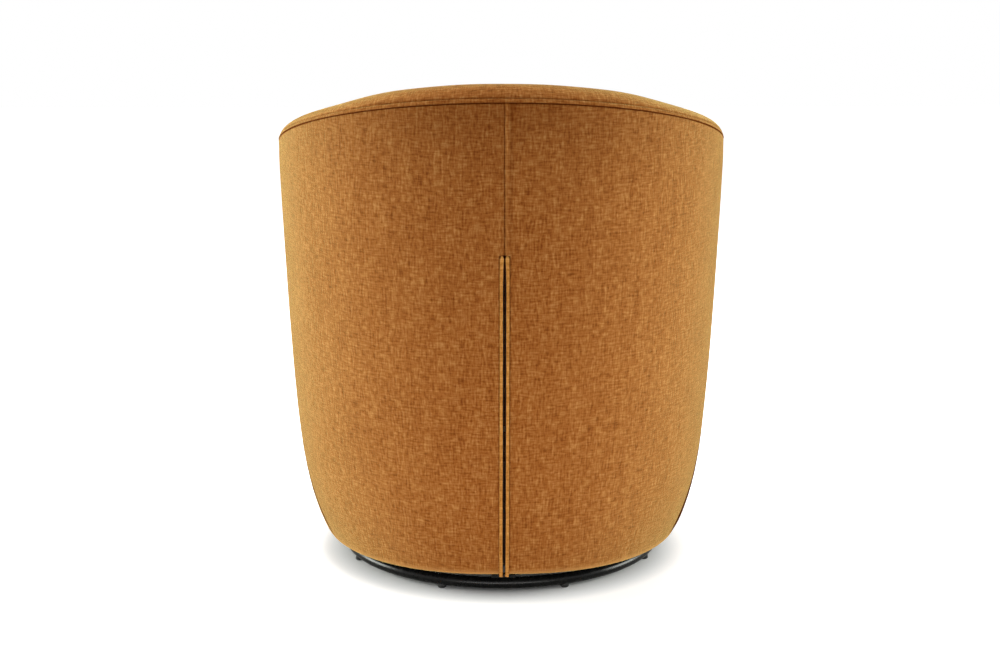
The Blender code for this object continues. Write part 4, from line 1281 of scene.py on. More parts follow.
@dataclass
class RimBorder:
    """The rolled border over the wall's top, with its seams and its topstitch."""

    roll: float = 0.0019
    seam_gap: float = 0.00003
    topstitch_in: float = 0.0075
    groove_depth: float = 0.0016
    groove_width: float = 0.0012
    band_lift: float = 0.0008
    seam_shade: float = 0.0014
    seam_dark: float = 0.95
    stitch_dark: float = 0.5
    step: float = 0.0048
    along_step: float = 0.007
    fine: int = 721
    calm: float = 0.02
    fullness: float = 0.3
    slack_height: float = 0.0012
    slack_length: float = 0.13
    slack_squeeze: float = 0.8
    seed: int = 5
    pucker_height: float = 0.0006
    pucker_pitch: float = 0.013
    pucker_reach: float = 0.010
    facing_from: float = 0.65
    facing_least: float = 0.1
    band_light: float = 0.2
    stitch_pitch: float = 0.0046
    stitch_length: float = 0.0034
    thread: float = 0.00042
    stitch_points: int = 700
    stitch_stop: float = 0.012
    probe: float = 0.01

    def section(self) -> tuple[Array, Array]:
        """Set the rows across the roll, on the half ellipse of the back.

        Returns:
            The rows' turns from the outer seam to the inner, and their distances from the outer one.
        """
        fine = np.linspace(0.0, math.pi, self.fine)
        half = FORM.wall / 2
        curve = np.stack([half * np.cos(fine), FORM.rim_rise_back * np.sin(fine)], axis=-1)
        run = run_along(curve)
        places = spaced(float(run[-1]), self.step, self.roll, (self.topstitch_in, float(run[-1]) - self.topstitch_in))
        return np.interp(places, run, fine), places

    def surface(self, angle: Array, turn: Array, lift: Array) -> Array:
        """Points of the roll: a half ellipse from the outer corner to the wall's inside.

        Args:
            angle: Angles from the back.
            turn: Turns from 0 at the outer seam to pi at the inner one.
            lift: Height above the plain surface along its normal.

        Returns:
            The points.
        """
        corner = FORM.corner_radius(angle)
        half, middle = (corner - FORM.inner_radius) / 2, (corner + FORM.inner_radius) / 2
        rise = FORM.rise(angle)
        across, up = np.cos(turn) / half, np.sin(turn) / rise
        size = np.hypot(across, up)
        radius = middle + half * np.cos(turn)
        height = FORM.seam_height(radius, angle) + rise * np.sin(turn) + lift * up / size
        return polar(radius + lift * across / size, angle, height + self.seam_gap)

    def build(self) -> None:
        """Make the border and its topstitching."""
        turn, run = self.section()
        length = 2 * FORM.arm_angle * FORM.radius
        along = spaced(length, self.along_step, self.roll) - length / 2
        angle = (along / FORM.radius)[:, None]
        from_seam = np.minimum(run, run[-1] - run)[None, :]
        depth = rolled(from_seam, self.roll)
        depth = np.maximum(depth, rolled(length / 2 - np.abs(along), self.roll)[:, None])
        depth = depth + self.groove_depth * groove(from_seam - self.topstitch_in, self.groove_width)
        band = self.band_lift * groove(from_seam - self.topstitch_in / 2, self.topstitch_in / 3)
        calm = calmed(from_seam, self.calm)
        waves = slack(along[:, None], run[None, :] * self.slack_squeeze, self.slack_length, self.seed)
        soft = self.slack_height * calm * (self.fullness + waves)
        beside = np.abs(from_seam - self.topstitch_in)
        gathers = puckers(beside, along[:, None], self.pucker_pitch, self.pucker_reach, self.seed + 1)
        lift = soft + band - depth - self.pucker_height * gathers
        outer = self.surface(angle, turn[None, :], lift)
        flat = polar(*self.floor_of_rim(angle, turn[None, :]))
        # How far the painted stitch shade shows: strongest at the back, faint at the sides.
        facing = np.clip((np.cos(angle) - self.facing_from) / (1.0 - self.facing_from), self.facing_least, 1.0)
        # Painted shade in the seams and in the stitch groove.
        tone = -self.seam_dark * groove(from_seam, self.seam_shade)
        tone = tone - self.stitch_dark * facing * groove(from_seam - self.topstitch_in, self.groove_width)
        # Painted highlight on the raised band between the seam and the topstitch.
        tone = tone + self.band_light * groove(from_seam - self.topstitch_in / 2, self.topstitch_in / 4)
        uv = stacked(run[None, :], along[:, None])
        mesh = Skin("rim_border").shell(outer, flat, uv, np.clip(tone, -1.0, 1.0)).mesh()
        upholster("rim_border", mesh, "rim_roll")
        for label, place in (("outer", self.topstitch_in), ("inner", float(run[-1]) - self.topstitch_in)):
            self.topstitch(label, float(np.interp(place, run, turn)))

    def floor_of_rim(self, angle: Array, turn: Array) -> tuple[Array, Array, Array]:
        """Find the border's flat underside, in the rim's plane and a little inside its edges.

        Args:
            angle: Angles from the back.
            turn: Turns from the outer seam to the inner one.

        Returns:
            Its radii, angles and heights.
        """
        corner = FORM.corner_radius(angle)
        half, middle = (corner - FORM.inner_radius) / 2 - self.roll, (corner + FORM.inner_radius) / 2
        radius = middle + half * np.cos(turn)
        return radius, angle, FORM.seam_height(radius, angle) + self.seam_gap

    def topstitch(self, label: str, turn: float) -> None:
        """Make the stitches at one turn of the section, all round the rim.

        Args:
            label: Which of the two rows it is.
            turn: Turn of the section.
        """
        angle = np.linspace(-1.0, 1.0, self.stitch_points) * (FORM.arm_angle - self.stitch_stop)
        path = self.surface(angle, np.array(turn), np.array(-self.groove_depth))
        out = self.surface(angle, np.array(turn), np.array(self.probe)) - path
        skin = stitches(f"rim_topstitch_{label}", path, out, self.stitch_pitch, self.stitch_length, self.thread)
        add_piece(skin.name, skin.mesh(), SEWING_THREAD.material(), Body.SEAT)


@dataclass
class Shell:
    """The inside of the tub: the arm fronts and the three inner pads."""

    roll: float = 0.0035
    step: float = 0.009
    gap: float = 0.0003
    back_pad_angle: float = math.radians(58.0)
    crown: float = 0.010
    edge_power: float = 6.0
    pad_depth: float = 0.0315
    pad_bottom: float = 0.2776
    calm: float = 0.04
    slack_height: float = 0.0016
    slack_length: float = 0.14
    pucker_height: float = 0.0012
    pucker_pitch: float = 0.035
    pucker_reach: float = 0.03
    back_seed: int = 41
    arm_seed: int = 51
    front_step: float = 0.7
    front_roll: float = 0.8
    front_calm: float = 0.02
    front_slack_length: float = 0.12
    front_seed: int = 3
    front_lining: float = 0.0015
    arm_dome_rows: int = 12
    seam_shade: float = 0.0013

    def pad(self, name: str, first: float, last: float, node: str, seed: int) -> None:
        """Make one inner pad between two angles.

        Its radius is the wall's inside less a crown that is a half sine up the
        pad times one minus a power of the place across it.

        Args:
            name: Name of the piece.
            first: Angle of its first edge.
            last: Angle of its last edge.
            node: Frame node that it replaces.
            seed: Seed of its unevenness.
        """
        width = abs(last - first) * FORM.inner_radius
        share = shares(width, self.step, self.roll)[None, :]
        angle = first + (last - first) * share
        top = FORM.seam_height(FORM.inner_radius, angle) - self.gap
        tall = float(np.max(top)) - self.pad_bottom
        level = shares(tall, self.step, self.roll)[:, None]
        height = self.pad_bottom + level * (top - self.pad_bottom)
        crown = self.crown * (1 - np.abs(2 * share - 1) ** self.edge_power)
        seam = from_ends(share) * width
        edges = np.minimum(seam, from_ends(level) * tall)
        depth = rolled(edges, self.roll)
        calm = calmed(edges, self.calm)
        soft = self.slack_height * calm * slack(angle * FORM.inner_radius, height, self.slack_length, seed)
        gathers = puckers(seam, height + 0 * angle, self.pucker_pitch, self.pucker_reach, seed + 1)
        gathers = self.pucker_height * gathers
        radius = FORM.inner_radius - crown * np.sin(math.pi * level) + depth - soft + gathers
        front = polar(radius, angle, height)
        back = polar(FORM.inner_radius + self.pad_depth + 0 * radius, angle, height)
        uv = stacked(angle * FORM.inner_radius, height)
        # Painted shade along the pad's seamed edges.
        mesh = Skin(name).shell(front, back, uv, -groove(edges, self.seam_shade)).mesh()
        upholster(name, mesh, node)

    def arm_front(self, side: Side) -> None:
        """Make the half-round front of an arm, domed at its top like the rim's end.

        A section at a height has the radius middle + half cos t and stands
        ahead of the arm's end by half sin t. Over the top, half shrinks as cos
        and the height grows as sin of the lift.

        Args:
            side: Side of the chair.
        """
        half_wall = FORM.wall / 2
        places = spaced(math.pi * half_wall, self.step * self.front_step, self.roll)
        turn = (places / half_wall)[None, :]
        bottom = self.pad_bottom
        tall = FORM.side_seam_height - bottom
        share = np.concatenate([shares(tall, self.step, self.roll)[:-1], np.ones(self.arm_dome_rows + 1)])
        dome = np.linspace(0.0, math.pi / 2, self.arm_dome_rows + 1)
        lift = np.concatenate([np.zeros(len(share) - len(dome)), dome])
        share, lift = share[:, None], lift[:, None]
        level = bottom + share * tall
        arm = FORM.arm_angle
        outer = FORM.outer(arm, level)
        middle = (outer + FORM.inner_radius) / 2
        half = (outer - FORM.inner_radius) / 2 * np.cos(lift)
        edge = np.minimum(places, places[-1] - places)[None, :]
        depth = rolled(edge, self.roll * self.front_roll) + rolled(share * tall, self.roll)
        waves = slack(places[None, :], level, self.front_slack_length, self.front_seed + side.value)
        soft = self.slack_height * calmed(edge, self.front_calm) * waves
        grown = half - (depth - soft) * np.cos(lift)
        ahead = self.gap + np.maximum(grown, 0.0) * np.sin(turn)
        radius = middle + np.maximum(grown, 0.0) * np.cos(turn)
        x = radius * math.sin(arm) + ahead * math.cos(arm)
        y = radius * math.cos(arm) - ahead * math.sin(arm)
        seam = FORM.seam_height(y, 0.0)  # the plane slopes along y alone
        z = bottom + share * (seam - bottom) + FORM.rise(np.array(arm)) * np.sin(lift)
        front = stacked(side.value * x, y, z)
        flat_radius = middle + np.maximum(grown - self.front_lining, 0.0) * np.cos(turn)
        flat_x = flat_radius * math.sin(arm) + self.gap * math.cos(arm)
        flat_y = flat_radius * math.cos(arm) - self.gap * math.sin(arm)
        flat = stacked(side.value * flat_x, flat_y, z)
        uv = stacked(places[None, :], z)
        name = f"arm_facing_{side.label}"
        # Painted shade along the facing's seamed edges.
        shade = -groove(np.minimum(edge, share * tall + lift), self.seam_shade)
        mesh = Skin(name).shell(front, flat, uv, shade).mesh()
        upholster(name, mesh, f"arm_front_{side.label}")

    def build(self) -> None:
        """Make the pads and the arm fronts."""
        split = self.back_pad_angle
        gap = self.gap / FORM.inner_radius
        self.pad("inner_back", -split + gap, split - gap, "inner_back_pad", self.back_seed)
        for side in Side:
            first, last = side.value * (split + gap), side.value * (FORM.arm_angle - gap)
            node = f"inner_arm_pad_{side.label}"
            self.pad(f"inner_arm_{side.label}", first, last, node, self.arm_seed + side.value)
            self.arm_front(side)


@dataclass
class SeatCushion:
    """The loose T-shaped cushion, swelled by air pressure between its two welts."""

    bottom: float = 0.2798
    top: float = 0.456
    side: float = FORM.inner_radius - 0.0106
    front_gap: float = 0.002
    ear_round: float = math.radians(7.0)
    start_share: float = 0.98
    welt_low: float = 0.035
    welt_high: float = 0.83
    top_edge: float = 0.972
    columns: int = 260
    side_rows: int = 22
    top_rows: int = 46
    fine: int = 4001
    bottom_power: int = 4
    side_power: float = 0.8
    crown_power: float = 2.6
    round_from: float = 0.15
    round_over: float = 0.75
    cap: float = 0.026
    pressure: float = 4.0
    frames: int = 20
    quality: int = 6
    mass: float = 0.4
    stretch_stiffness: float = 12.0
    shear_stiffness: float = 8.0
    bending_stiffness: float = 2.0
    clearance: float = 0.0004
    proud: float = 0.006
    welt_radius: float = 0.0032
    welt_sides: int = 12
    welt_dark: float = 0.8
    beside_dark: float = 0.15

    def reach(self, angle: Array) -> Array:
        """Radius of the cushion's outline.

        It is the tub's inside, then the near edge of the circle round the arm's
        front, and past the arm a quarter ellipse out to the chair's own radius.

        Args:
            angle: Angles from the back.

        Returns:
            The radii.
        """
        beyond = np.abs(angle) - FORM.arm_angle
        outer = float(FORM.outer(np.array(FORM.arm_angle), np.array((self.bottom + self.top) / 2)))
        middle, half = (outer + FORM.inner_radius) / 2, (outer - FORM.inner_radius) / 2 + self.front_gap
        corner = math.asin(half / middle)
        inside = np.clip(beyond, 0.0, corner)
        chord = middle * np.cos(inside) - np.sqrt(np.maximum(half**2 - (middle * np.sin(inside)) ** 2, 0.0))
        notch = np.minimum(self.side + inside * middle, chord)
        ear = clipped((beyond - corner) / self.ear_round)
        start = middle * math.cos(corner)
        front = start + (FORM.radius - start) * np.sqrt(np.maximum(1.0 - (1.0 - ear) ** 2, 0.0))
        return np.where(beyond <= 0.0, self.side, np.where(beyond < corner, notch, front))

    def columns_at(self) -> Array:
        """Space the columns evenly along the outline.

        Returns:
            Their angles.
        """
        fine = np.linspace(-math.pi, math.pi, self.fine)
        outline = polar(self.reach(fine), fine, np.zeros_like(fine))
        run = run_along(outline)
        return np.interp(np.linspace(0.0, run[-1], self.columns + 1), run, fine)

    def profile(self) -> tuple[Array, Array, Array]:
        """Set the rows, from the middle of the bottom over the two welts to the middle of the top.

        Returns:
            The rows' spreads and heights as shares, and how far each keeps the outline's shape.
        """
        low = np.linspace(0.0, 1.0, self.top_rows)
        side = np.linspace(0.0, 1.0, self.side_rows)
        spread_low, height_low = self.top_edge * low, self.welt_low - self.welt_low * (1 - low**self.bottom_power)
        spread_side = self.top_edge + (1 - self.top_edge) * np.sin(math.pi * side) ** self.side_power
        height_side = self.welt_low + (self.welt_high - self.welt_low) * side
        high = low[::-1]
        spread_high = self.top_edge * high
        height_high = self.welt_high + (1 - self.welt_high) * (1 - high**self.crown_power)
        spread = np.concatenate([spread_low, spread_side[1:], spread_high[1:]])
        height = np.concatenate([height_low, height_side[1:], height_high[1:]])
        keep = clipped((spread / self.top_edge - self.round_from) / self.round_over)
        return spread, height, eased(keep)

    def rest_grid(self, share: float) -> Array:
        """Lay out the unswelled cushion, each row a shrunken copy of the outline.

        Args:
            share: Share of the outline that the widest row has.

        Returns:
            The grid of points.
        """
        spread, height, keep = (row[:, None] for row in self.profile())
        angle = self.columns_at()[None, :]
        outline = self.side + keep * (self.reach(angle) - self.side)
        levels = self.bottom + (self.top - self.bottom) * height
        return polar(share * spread * outline, angle, levels)

    def swell(self, grid: Array, pinned: Array) -> Array:
        """Swell the grid with cloth under pressure and return its new points.

        Args:
            grid: Grid of points whose first and last rows are poles.
            pinned: Weight of each row that holds it in place.

        Returns:
            The grid after the cloth has moved, each move capped.
        """
        rows, columns = grid.shape[:2]
        inside = grid[1:-1, :-1]
        points = np.concatenate([grid[:1, 0], inside.reshape(-1, 3), grid[-1:, 0]])
        ring = columns - 1
        index = 1 + np.arange((rows - 2) * ring).reshape(rows - 2, ring)
        after = np.roll(index, -1, axis=1)
        quads = np.stack([index[:-1], index[1:], after[1:], after[:-1]], axis=-1).reshape(-1, 4)
        last = len(points) - 1
        cap_low = np.stack([np.zeros(ring, int), index[0], after[0]], axis=-1)
        cap_high = np.stack([np.full(ring, last), after[-1], index[-1]], axis=-1)
        mesh = bpy.data.meshes.new("cushion_cloth")
        mesh.from_pydata(points.tolist(), [], quads.tolist() + cap_low.tolist() + cap_high.tolist())
        bm = bmesh.new()
        bm.from_mesh(mesh)
        bmesh.ops.recalc_face_normals(bm, faces=bm.faces)
        bm.to_mesh(mesh)
        bm.free()
        copy = placed("cushion_cloth", mesh)
        held = copy.vertex_groups.new(name="held")
        for row, weight in enumerate(pinned[1:-1]):
            if weight > 0:
                held.add(index[row].tolist(), float(weight), "REPLACE")
        cloth = copy.modifiers.new("cloth", "CLOTH")
        settings = cloth.settings
        settings.quality = self.quality
        settings.mass = self.mass
        settings.tension_stiffness = settings.compression_stiffness = self.stretch_stiffness
        settings.shear_stiffness = self.shear_stiffness
        settings.bending_stiffness = self.bending_stiffness
        settings.use_pressure = True
        settings.uniform_pressure_force = self.pressure
        settings.vertex_group_mass = held.name
        settings.effector_weights.gravity = 0.0
        cloth.point_cache.frame_start, cloth.point_cache.frame_end = 1, self.frames
        scene = bpy.context.scene
        for frame_number in range(1, self.frames + 1):
            scene.frame_set(frame_number)
        final = copy.evaluated_get(bpy.context.evaluated_depsgraph_get())
        moved = np.empty(len(points) * 3)
        final.data.vertices.foreach_get("co", moved)
        moved = moved.reshape(-1, 3)
        scene.frame_set(1)
        bpy.data.objects.remove(copy)
        bpy.data.meshes.remove(mesh)
        move = moved - points
        size = np.linalg.norm(move, axis=1, keepdims=True)
        points = points + move * np.minimum(1.0, self.cap / np.maximum(size, TINY))
        swelled = np.empty_like(grid)
        swelled[0], swelled[-1] = points[0], points[-1]
        middle = points[1:-1].reshape(rows - 2, ring, 3)
        swelled[1:-1, :-1], swelled[1:-1, -1] = middle, middle[:, 0]
        return swelled

    def kept_in(self, grid: Array) -> Array:
        """Keep the swelled grid inside its place in the tub and on its straps.

        Args:
            grid: Grid of points.

        Returns:
            The grid, held within the outline and between the bottom and the top.
        """
        angle = np.arctan2(grid[..., 0], grid[..., 1])
        radius = np.minimum(np.hypot(grid[..., 0], grid[..., 1]), self.reach(angle) - self.clearance)
        height = np.clip(grid[..., 2], self.bottom, self.top + self.proud)
        return polar(radius, angle, height)

    def build(self) -> None:
        """Make the cushion, its two welts and its weave."""
        grid = self.rest_grid(self.start_share)
        rows_low, rows_side = self.top_rows - 1, self.top_rows + self.side_rows - 2
        pinned = np.zeros(len(grid))
        pinned[[rows_low, rows_side]] = 1.0
        grid = self.swell(grid, pinned)
        grid = self.kept_in(grid)
        skin = Skin("cushion")
        run = run_along(grid[rows_side])
        flat = grid[..., :2]
        side_uv = stacked(run[None, :], grid[rows_low : rows_side + 1, :, 2])
        rows = np.arange(len(grid))[:, None]
        # Painted shade at the welts' rows, and a lighter painted shade beside them.
        near = np.minimum(np.abs(rows - rows_low), np.abs(rows - rows_side))
        shade = -np.where(near == 0, self.welt_dark, np.where(near == 1, self.beside_dark, 0.0))
        shade = shade * np.ones(grid.shape[1])
        for part, uv in (
            (np.s_[: rows_low + 1], flat[: rows_low + 1]),
            (np.s_[rows_low : rows_side + 1], side_uv),
            (np.s_[rows_side:], flat[rows_side:]),
        ):
            skin.grid(grid[part], uv, shade[part])
        upholster("cushion", skin.mesh(), "seat_cushion", sewn=False)
        for label, row in (("lower", rows_low), ("upper", rows_side)):
            self.welt(label, grid[row])

    def welt(self, label: str, ring: Array) -> None:
        """Make one welt: a circle carried along a closed ring of points.

        Args:
            label: Which of the two welts it is.
            ring: Points of the ring, the last one on the first.
        """
        path = ring[:-1]
        along = unit(np.roll(path, -1, axis=0) - np.roll(path, 1, axis=0))
        up = np.array([0.0, 0.0, 1.0])
        side = unit(np.cross(along, up))
        turn = np.linspace(0.0, math.tau, self.welt_sides + 1)[None, :, None]
        points = path[:, None] + self.welt_radius * (np.cos(turn) * side[:, None] + np.sin(turn) * up)
        points = np.concatenate([points, points[:1]])
        run = run_along(points[:, 0])
        uv = stacked(run[:, None], self.welt_radius * turn[..., 0])
        mesh = Skin(f"cushion_welt_{label}").grid(points, uv).mesh()
        add_piece(mesh.name, mesh, CHENILLE_PIPING.material(), Body.SEAT)


@dataclass
class Apron:
    """The cover across the front below the cushion, whose top folds back over the front rail."""

    top: float = 0.2766
    roll: float = 0.0050
    hem_roll: float = 0.0032
    step: float = 0.007
    thickness: float = 0.0066
    least: float = 0.0015
    seam_gap: float = 0.0003
    seam_shade: float = 0.0013
    hem_gain: float = 1.3
    calm: float = 0.03
    slack_height: float = 0.0010
    slack_length: float = 0.15
    seed: int = 77
    flap_columns: int = 90
    flap_rows: int = 12
    flap_low: float = 0.2772
    flap_high: float = 0.2792
    flap_edge: float = 0.0045
    flap_chord: float = 0.192
    corner_chord: float = 0.159
    corner_start: float = 0.205
    corner_width: float = 0.030
    corner_rise: float = 0.0003
    corner_margin: float = 0.004
    flap_narrowing: float = 0.03
    edge_rise: float = 0.2
    edge_share: float = 0.04
    thin_from: float = 0.010
    thin_over: float = 0.006

    def build(self) -> None:
        """Make the apron from the barrel's law, and the flap of the same cloth on the rail."""
        first = FORM.arm_angle + self.seam_gap / FORM.radius
        width = 2 * (math.pi - first) * FORM.radius
        share = shares(width, self.step, self.roll)[None, :]
        tall = self.top - FORM.hem_height
        level = shares(tall, self.step, self.roll)[:, None]
        height = FORM.hem_height + level * tall
        angle = first + 2 * (math.pi - first) * share + 0 * height
        radius = FORM.outer(angle, height)
        sides = from_ends(share) * width + 0 * height
        above, below = level * tall + 0 * share, (1 - level) * tall + 0 * share
        depth = np.maximum(rolled(sides, self.roll / 2), rolled(below, self.roll))
        depth = np.maximum(depth, rolled(above, self.hem_roll))
        calm = calmed(smallest(sides, above, below), self.calm)
        soft = self.slack_height * calm * slack(angle * FORM.radius, height, self.slack_length, self.seed)
        outer = polar(radius - depth + soft, angle, height)
        inner = polar(radius - np.maximum(depth + self.least, self.thickness), angle, height)
        uv = stacked(angle * FORM.radius, height)
        # Painted highlight along the hem, and painted shade at the side seams.
        tone = clipped(self.hem_gain * groove(above, self.hem_roll)) - groove(sides, self.seam_shade)
        skin = Skin("apron").shell(outer, inner, uv, tone)
        self.flap(skin)
        upholster("apron", skin.mesh(), "front_apron")

    def flap(self, skin: Skin) -> None:
        """Add the flap: a flat sheet between the front's arc and a chord behind it.

        Rows run straight from the arc, a little inside the apron, to the chord
        at the same share of its width. Near its two corners the chord steps
        back under the arm fronts, where the flap is thin.

        Args:
            skin: The apron's skin, which the flap joins.
        """
        edge = float(FORM.outer(np.array(math.pi), np.array(self.top))) - self.flap_edge
        reach = math.acos(-(self.corner_chord + self.corner_margin) / edge)
        angle = np.linspace(reach, math.tau - reach, self.flap_columns + 1)[:, None]
        share = np.linspace(0.0, 1.0, self.flap_rows + 1)[None, :]
        arc = polar(np.array(edge), angle, np.array(0.0))
        x = arc[..., 0] * (1 - self.flap_narrowing * share)
        corner = clipped((np.abs(arc[..., 0]) - self.corner_start) / self.corner_width)
        chord = self.flap_chord - (self.flap_chord - self.corner_chord) * eased(corner)
        y = arc[..., 1] + (-chord - arc[..., 1]) * share
        rise = self.edge_rise + (1.0 - self.edge_rise) * np.sqrt(clipped(share / self.edge_share))
        full = clipped((-y - self.flap_chord + self.thin_from) / self.thin_over)
        low = self.flap_low + self.corner_rise
        upper = stacked(x, y, low + (self.flap_high - self.flap_low - self.corner_rise) * rise * full)
        lower = stacked(x, y, self.flap_low)
        skin.shell(upper, lower, upper[..., :2])


# Zip


@dataclass
class Zip:
    """The two folded lips of the closed zip down the back. Its tapes and slider are the frame's."""

    top: float = 0.546
    bottom: float = 0.041
    lip_outer: float = 0.00755
    proud: float = 0.0010
    thickness: float = 0.0030
    gap_bottom: float = 0.0018
    gap_middle: float = 0.0024
    gap_top: float = 0.0003
    closing: float = 0.085
    opening: float = 0.04
    row_step: float = 0.004
    sides: int = 24
    fullness: float = 0.75
    end_ease: float = 0.0015
    end_least: float = 0.4
    slow_wave: tuple[float, float] = (0.00022, 0.021)
    quick_wave: tuple[float, float] = (0.00015, 0.0083)
    shade_left: float = 0.25
    shade_right: float = 0.75
    shade_width: float = 0.0008
    shade_least: float = 0.4
    shade_from: float = 0.1
    shade_over: float = 0.2

    def inner_edge(self, height: Array) -> Array:
        """Half the gap between the lips.

        It closes to a point at the top as a square root, is even below, and
        narrows towards the bottom as exp of minus the share of the height.

        Args:
            height: Heights.

        Returns:
            Distances from the centre line to a lip's free edge.
        """
        share = (height - self.bottom) / (self.top - self.bottom)
        wide = self.gap_middle - (self.gap_middle - self.gap_bottom) * np.exp(-share / self.opening)
        closing = np.sqrt(clipped((1 - share) / self.closing))
        return self.gap_top + (wide - self.gap_top) * closing

    def lip(self, side: Side) -> None:
        """Make one lip: a fold of cloth, full and round on its free edge.

        Its section is an ellipse whose cosine and sine are raised to one power
        below 1, which fills out its corners. It shrinks towards the zip's top.

        Args:
            side: Side of the zip.
        """
        height = np.linspace(self.bottom, self.top, round((self.top - self.bottom) / self.row_step) + 1)[:, None]
        turn = np.linspace(0.0, math.tau, self.sides + 1)[None, :]
        inner = self.inner_edge(height)
        middle, half = (self.lip_outer + inner) / 2, (self.lip_outer - inner) / 2
        deep = self.thickness / 2
        ease = np.minimum(1.0, np.sqrt(clipped((self.top - height) / self.end_ease)) + self.end_least)
        (slow, slow_length), (quick, quick_length) = self.slow_wave, self.quick_wave
        wobble = slow * np.sin(height / slow_length + side.value) + quick * np.sin(height / quick_length)
        x = side.value * (middle + half * blunted(np.cos(turn), self.fullness) * ease)
        depth = self.proud - deep + deep * blunted(np.sin(turn), self.fullness) * ease + wobble
        points = FORM.on_back_arc(x, depth, height + 0 * x)
        start, end = (row.mean(axis=1, keepdims=True) + 0 * row for row in (points[:1], points[-1:]))
        points = np.concatenate([start, points, end])
        high = np.concatenate([height[:1], height, height[-1:]])
        across = np.linspace(0.0, 2 * (self.lip_outer + deep), self.sides + 1)[None, :]
        uv = stacked(across, high)
        name = f"zip_fold_{side.label}"
        # Painted shade along each lip's outer edge, deeper on the right lip than the left and fainter towards the
        # bottom.
        outer_edge = np.concatenate([x[:1], x, x[-1:]]) * side.value - self.lip_outer
        most = self.shade_left if side is Side.LEFT else self.shade_right
        rise = clipped((high - self.shade_from) / self.shade_over)
        dark = most * (self.shade_least + (1.0 - self.shade_least) * rise)
        mesh = Skin(name).grid(points, uv, -dark * groove(outer_edge, self.shade_width)).mesh()
        add_piece(name, mesh, CHENILLE_LIT_FOLD.material(), Body.SEAT, (f"zip_lip_{side.label}",))

    def build(self) -> None:
        """Make both lips."""
        for side in Side:
            self.lip(side)


# Base


@dataclass
class Base:
    """The gloss black ring that the chair turns on."""

    ring_radius: float = 0.250
    tube_radius: float = 0.009
    stand: float = 0.0055
    sections: int = 192
    sides: int = 32
    glide_count: int = 8
    glide_sides: int = 32
    glide_profile: tuple[tuple[float, float], ...] = (
        (0.0, 0.0),
        (0.0030, 0.0),
        (0.0046, 0.0004),
        (0.0058, 0.0012),
        (0.0066, 0.0024),
        (0.0068, 0.0034),
        (0.0062, 0.0038),
        (0.0064, 0.0044),
        (0.0064, 0.0074),
        (0.0058, 0.0082),
        (0.0, 0.0082),
    )

    def build(self) -> None:
        """Make the ring: a circle of the tube's radius carried round the ring's circle."""
        turn = np.linspace(0.0, math.tau, self.sides + 1)[None, :]
        angle = np.linspace(0.0, math.tau, self.sections + 1)[:, None]
        radius = self.ring_radius + self.tube_radius * np.cos(turn)
        height = self.stand + self.tube_radius + self.tube_radius * np.sin(turn)
        points = polar(radius, angle, height + 0 * angle)
        uv = stacked(angle * self.ring_radius, turn * self.tube_radius)
        mesh = Skin("ring_tube").grid(points, uv).mesh()
        add_piece("ring_tube", mesh, GLOSS_BLACK.material(), Body.BASE, ("base_ring",))
        for number in range(self.glide_count):
            self.glide(number)

    def glide(self, number: int) -> None:
        """Make one glide: a turned foot with a domed sole and a collar that hugs the tube.

        Args:
            number: Its place round the ring, from 0.
        """
        angle = (number + 0.5) * math.tau / self.glide_count
        centre = (self.ring_radius * math.sin(angle), self.ring_radius * math.cos(angle))
        skin = lathe(f"glide_{number + 1}", self.glide_profile, centre, self.glide_sides)
        node = f"floor_glide_{number + 1}"
        add_piece(skin.name, skin.mesh(), BLACK_PLASTIC.material(), Body.BASE, (node,), SOLE_CREASE)


class PlainNodes:
    """The rigid frame nodes whose shape stays, each given its finish."""

    def build(self) -> None:
        """Put the finish of its slot on every node that stays."""
        slots = {row["node"]: row["material_slot"] for row in frame["record"]["subparts"]}
        # Nodes of other slots take the lighter copy of the chenille, whose colour is painted light.
        for node, slot in slots.items():
            for place in frame["nodes"][node].material_slots:
                place.material = NODE_FINISHES.get(slot, CHENILLE_LIT_FOLD).material()
        LOG.info("finished %d frame nodes", len(slots))


# Studio


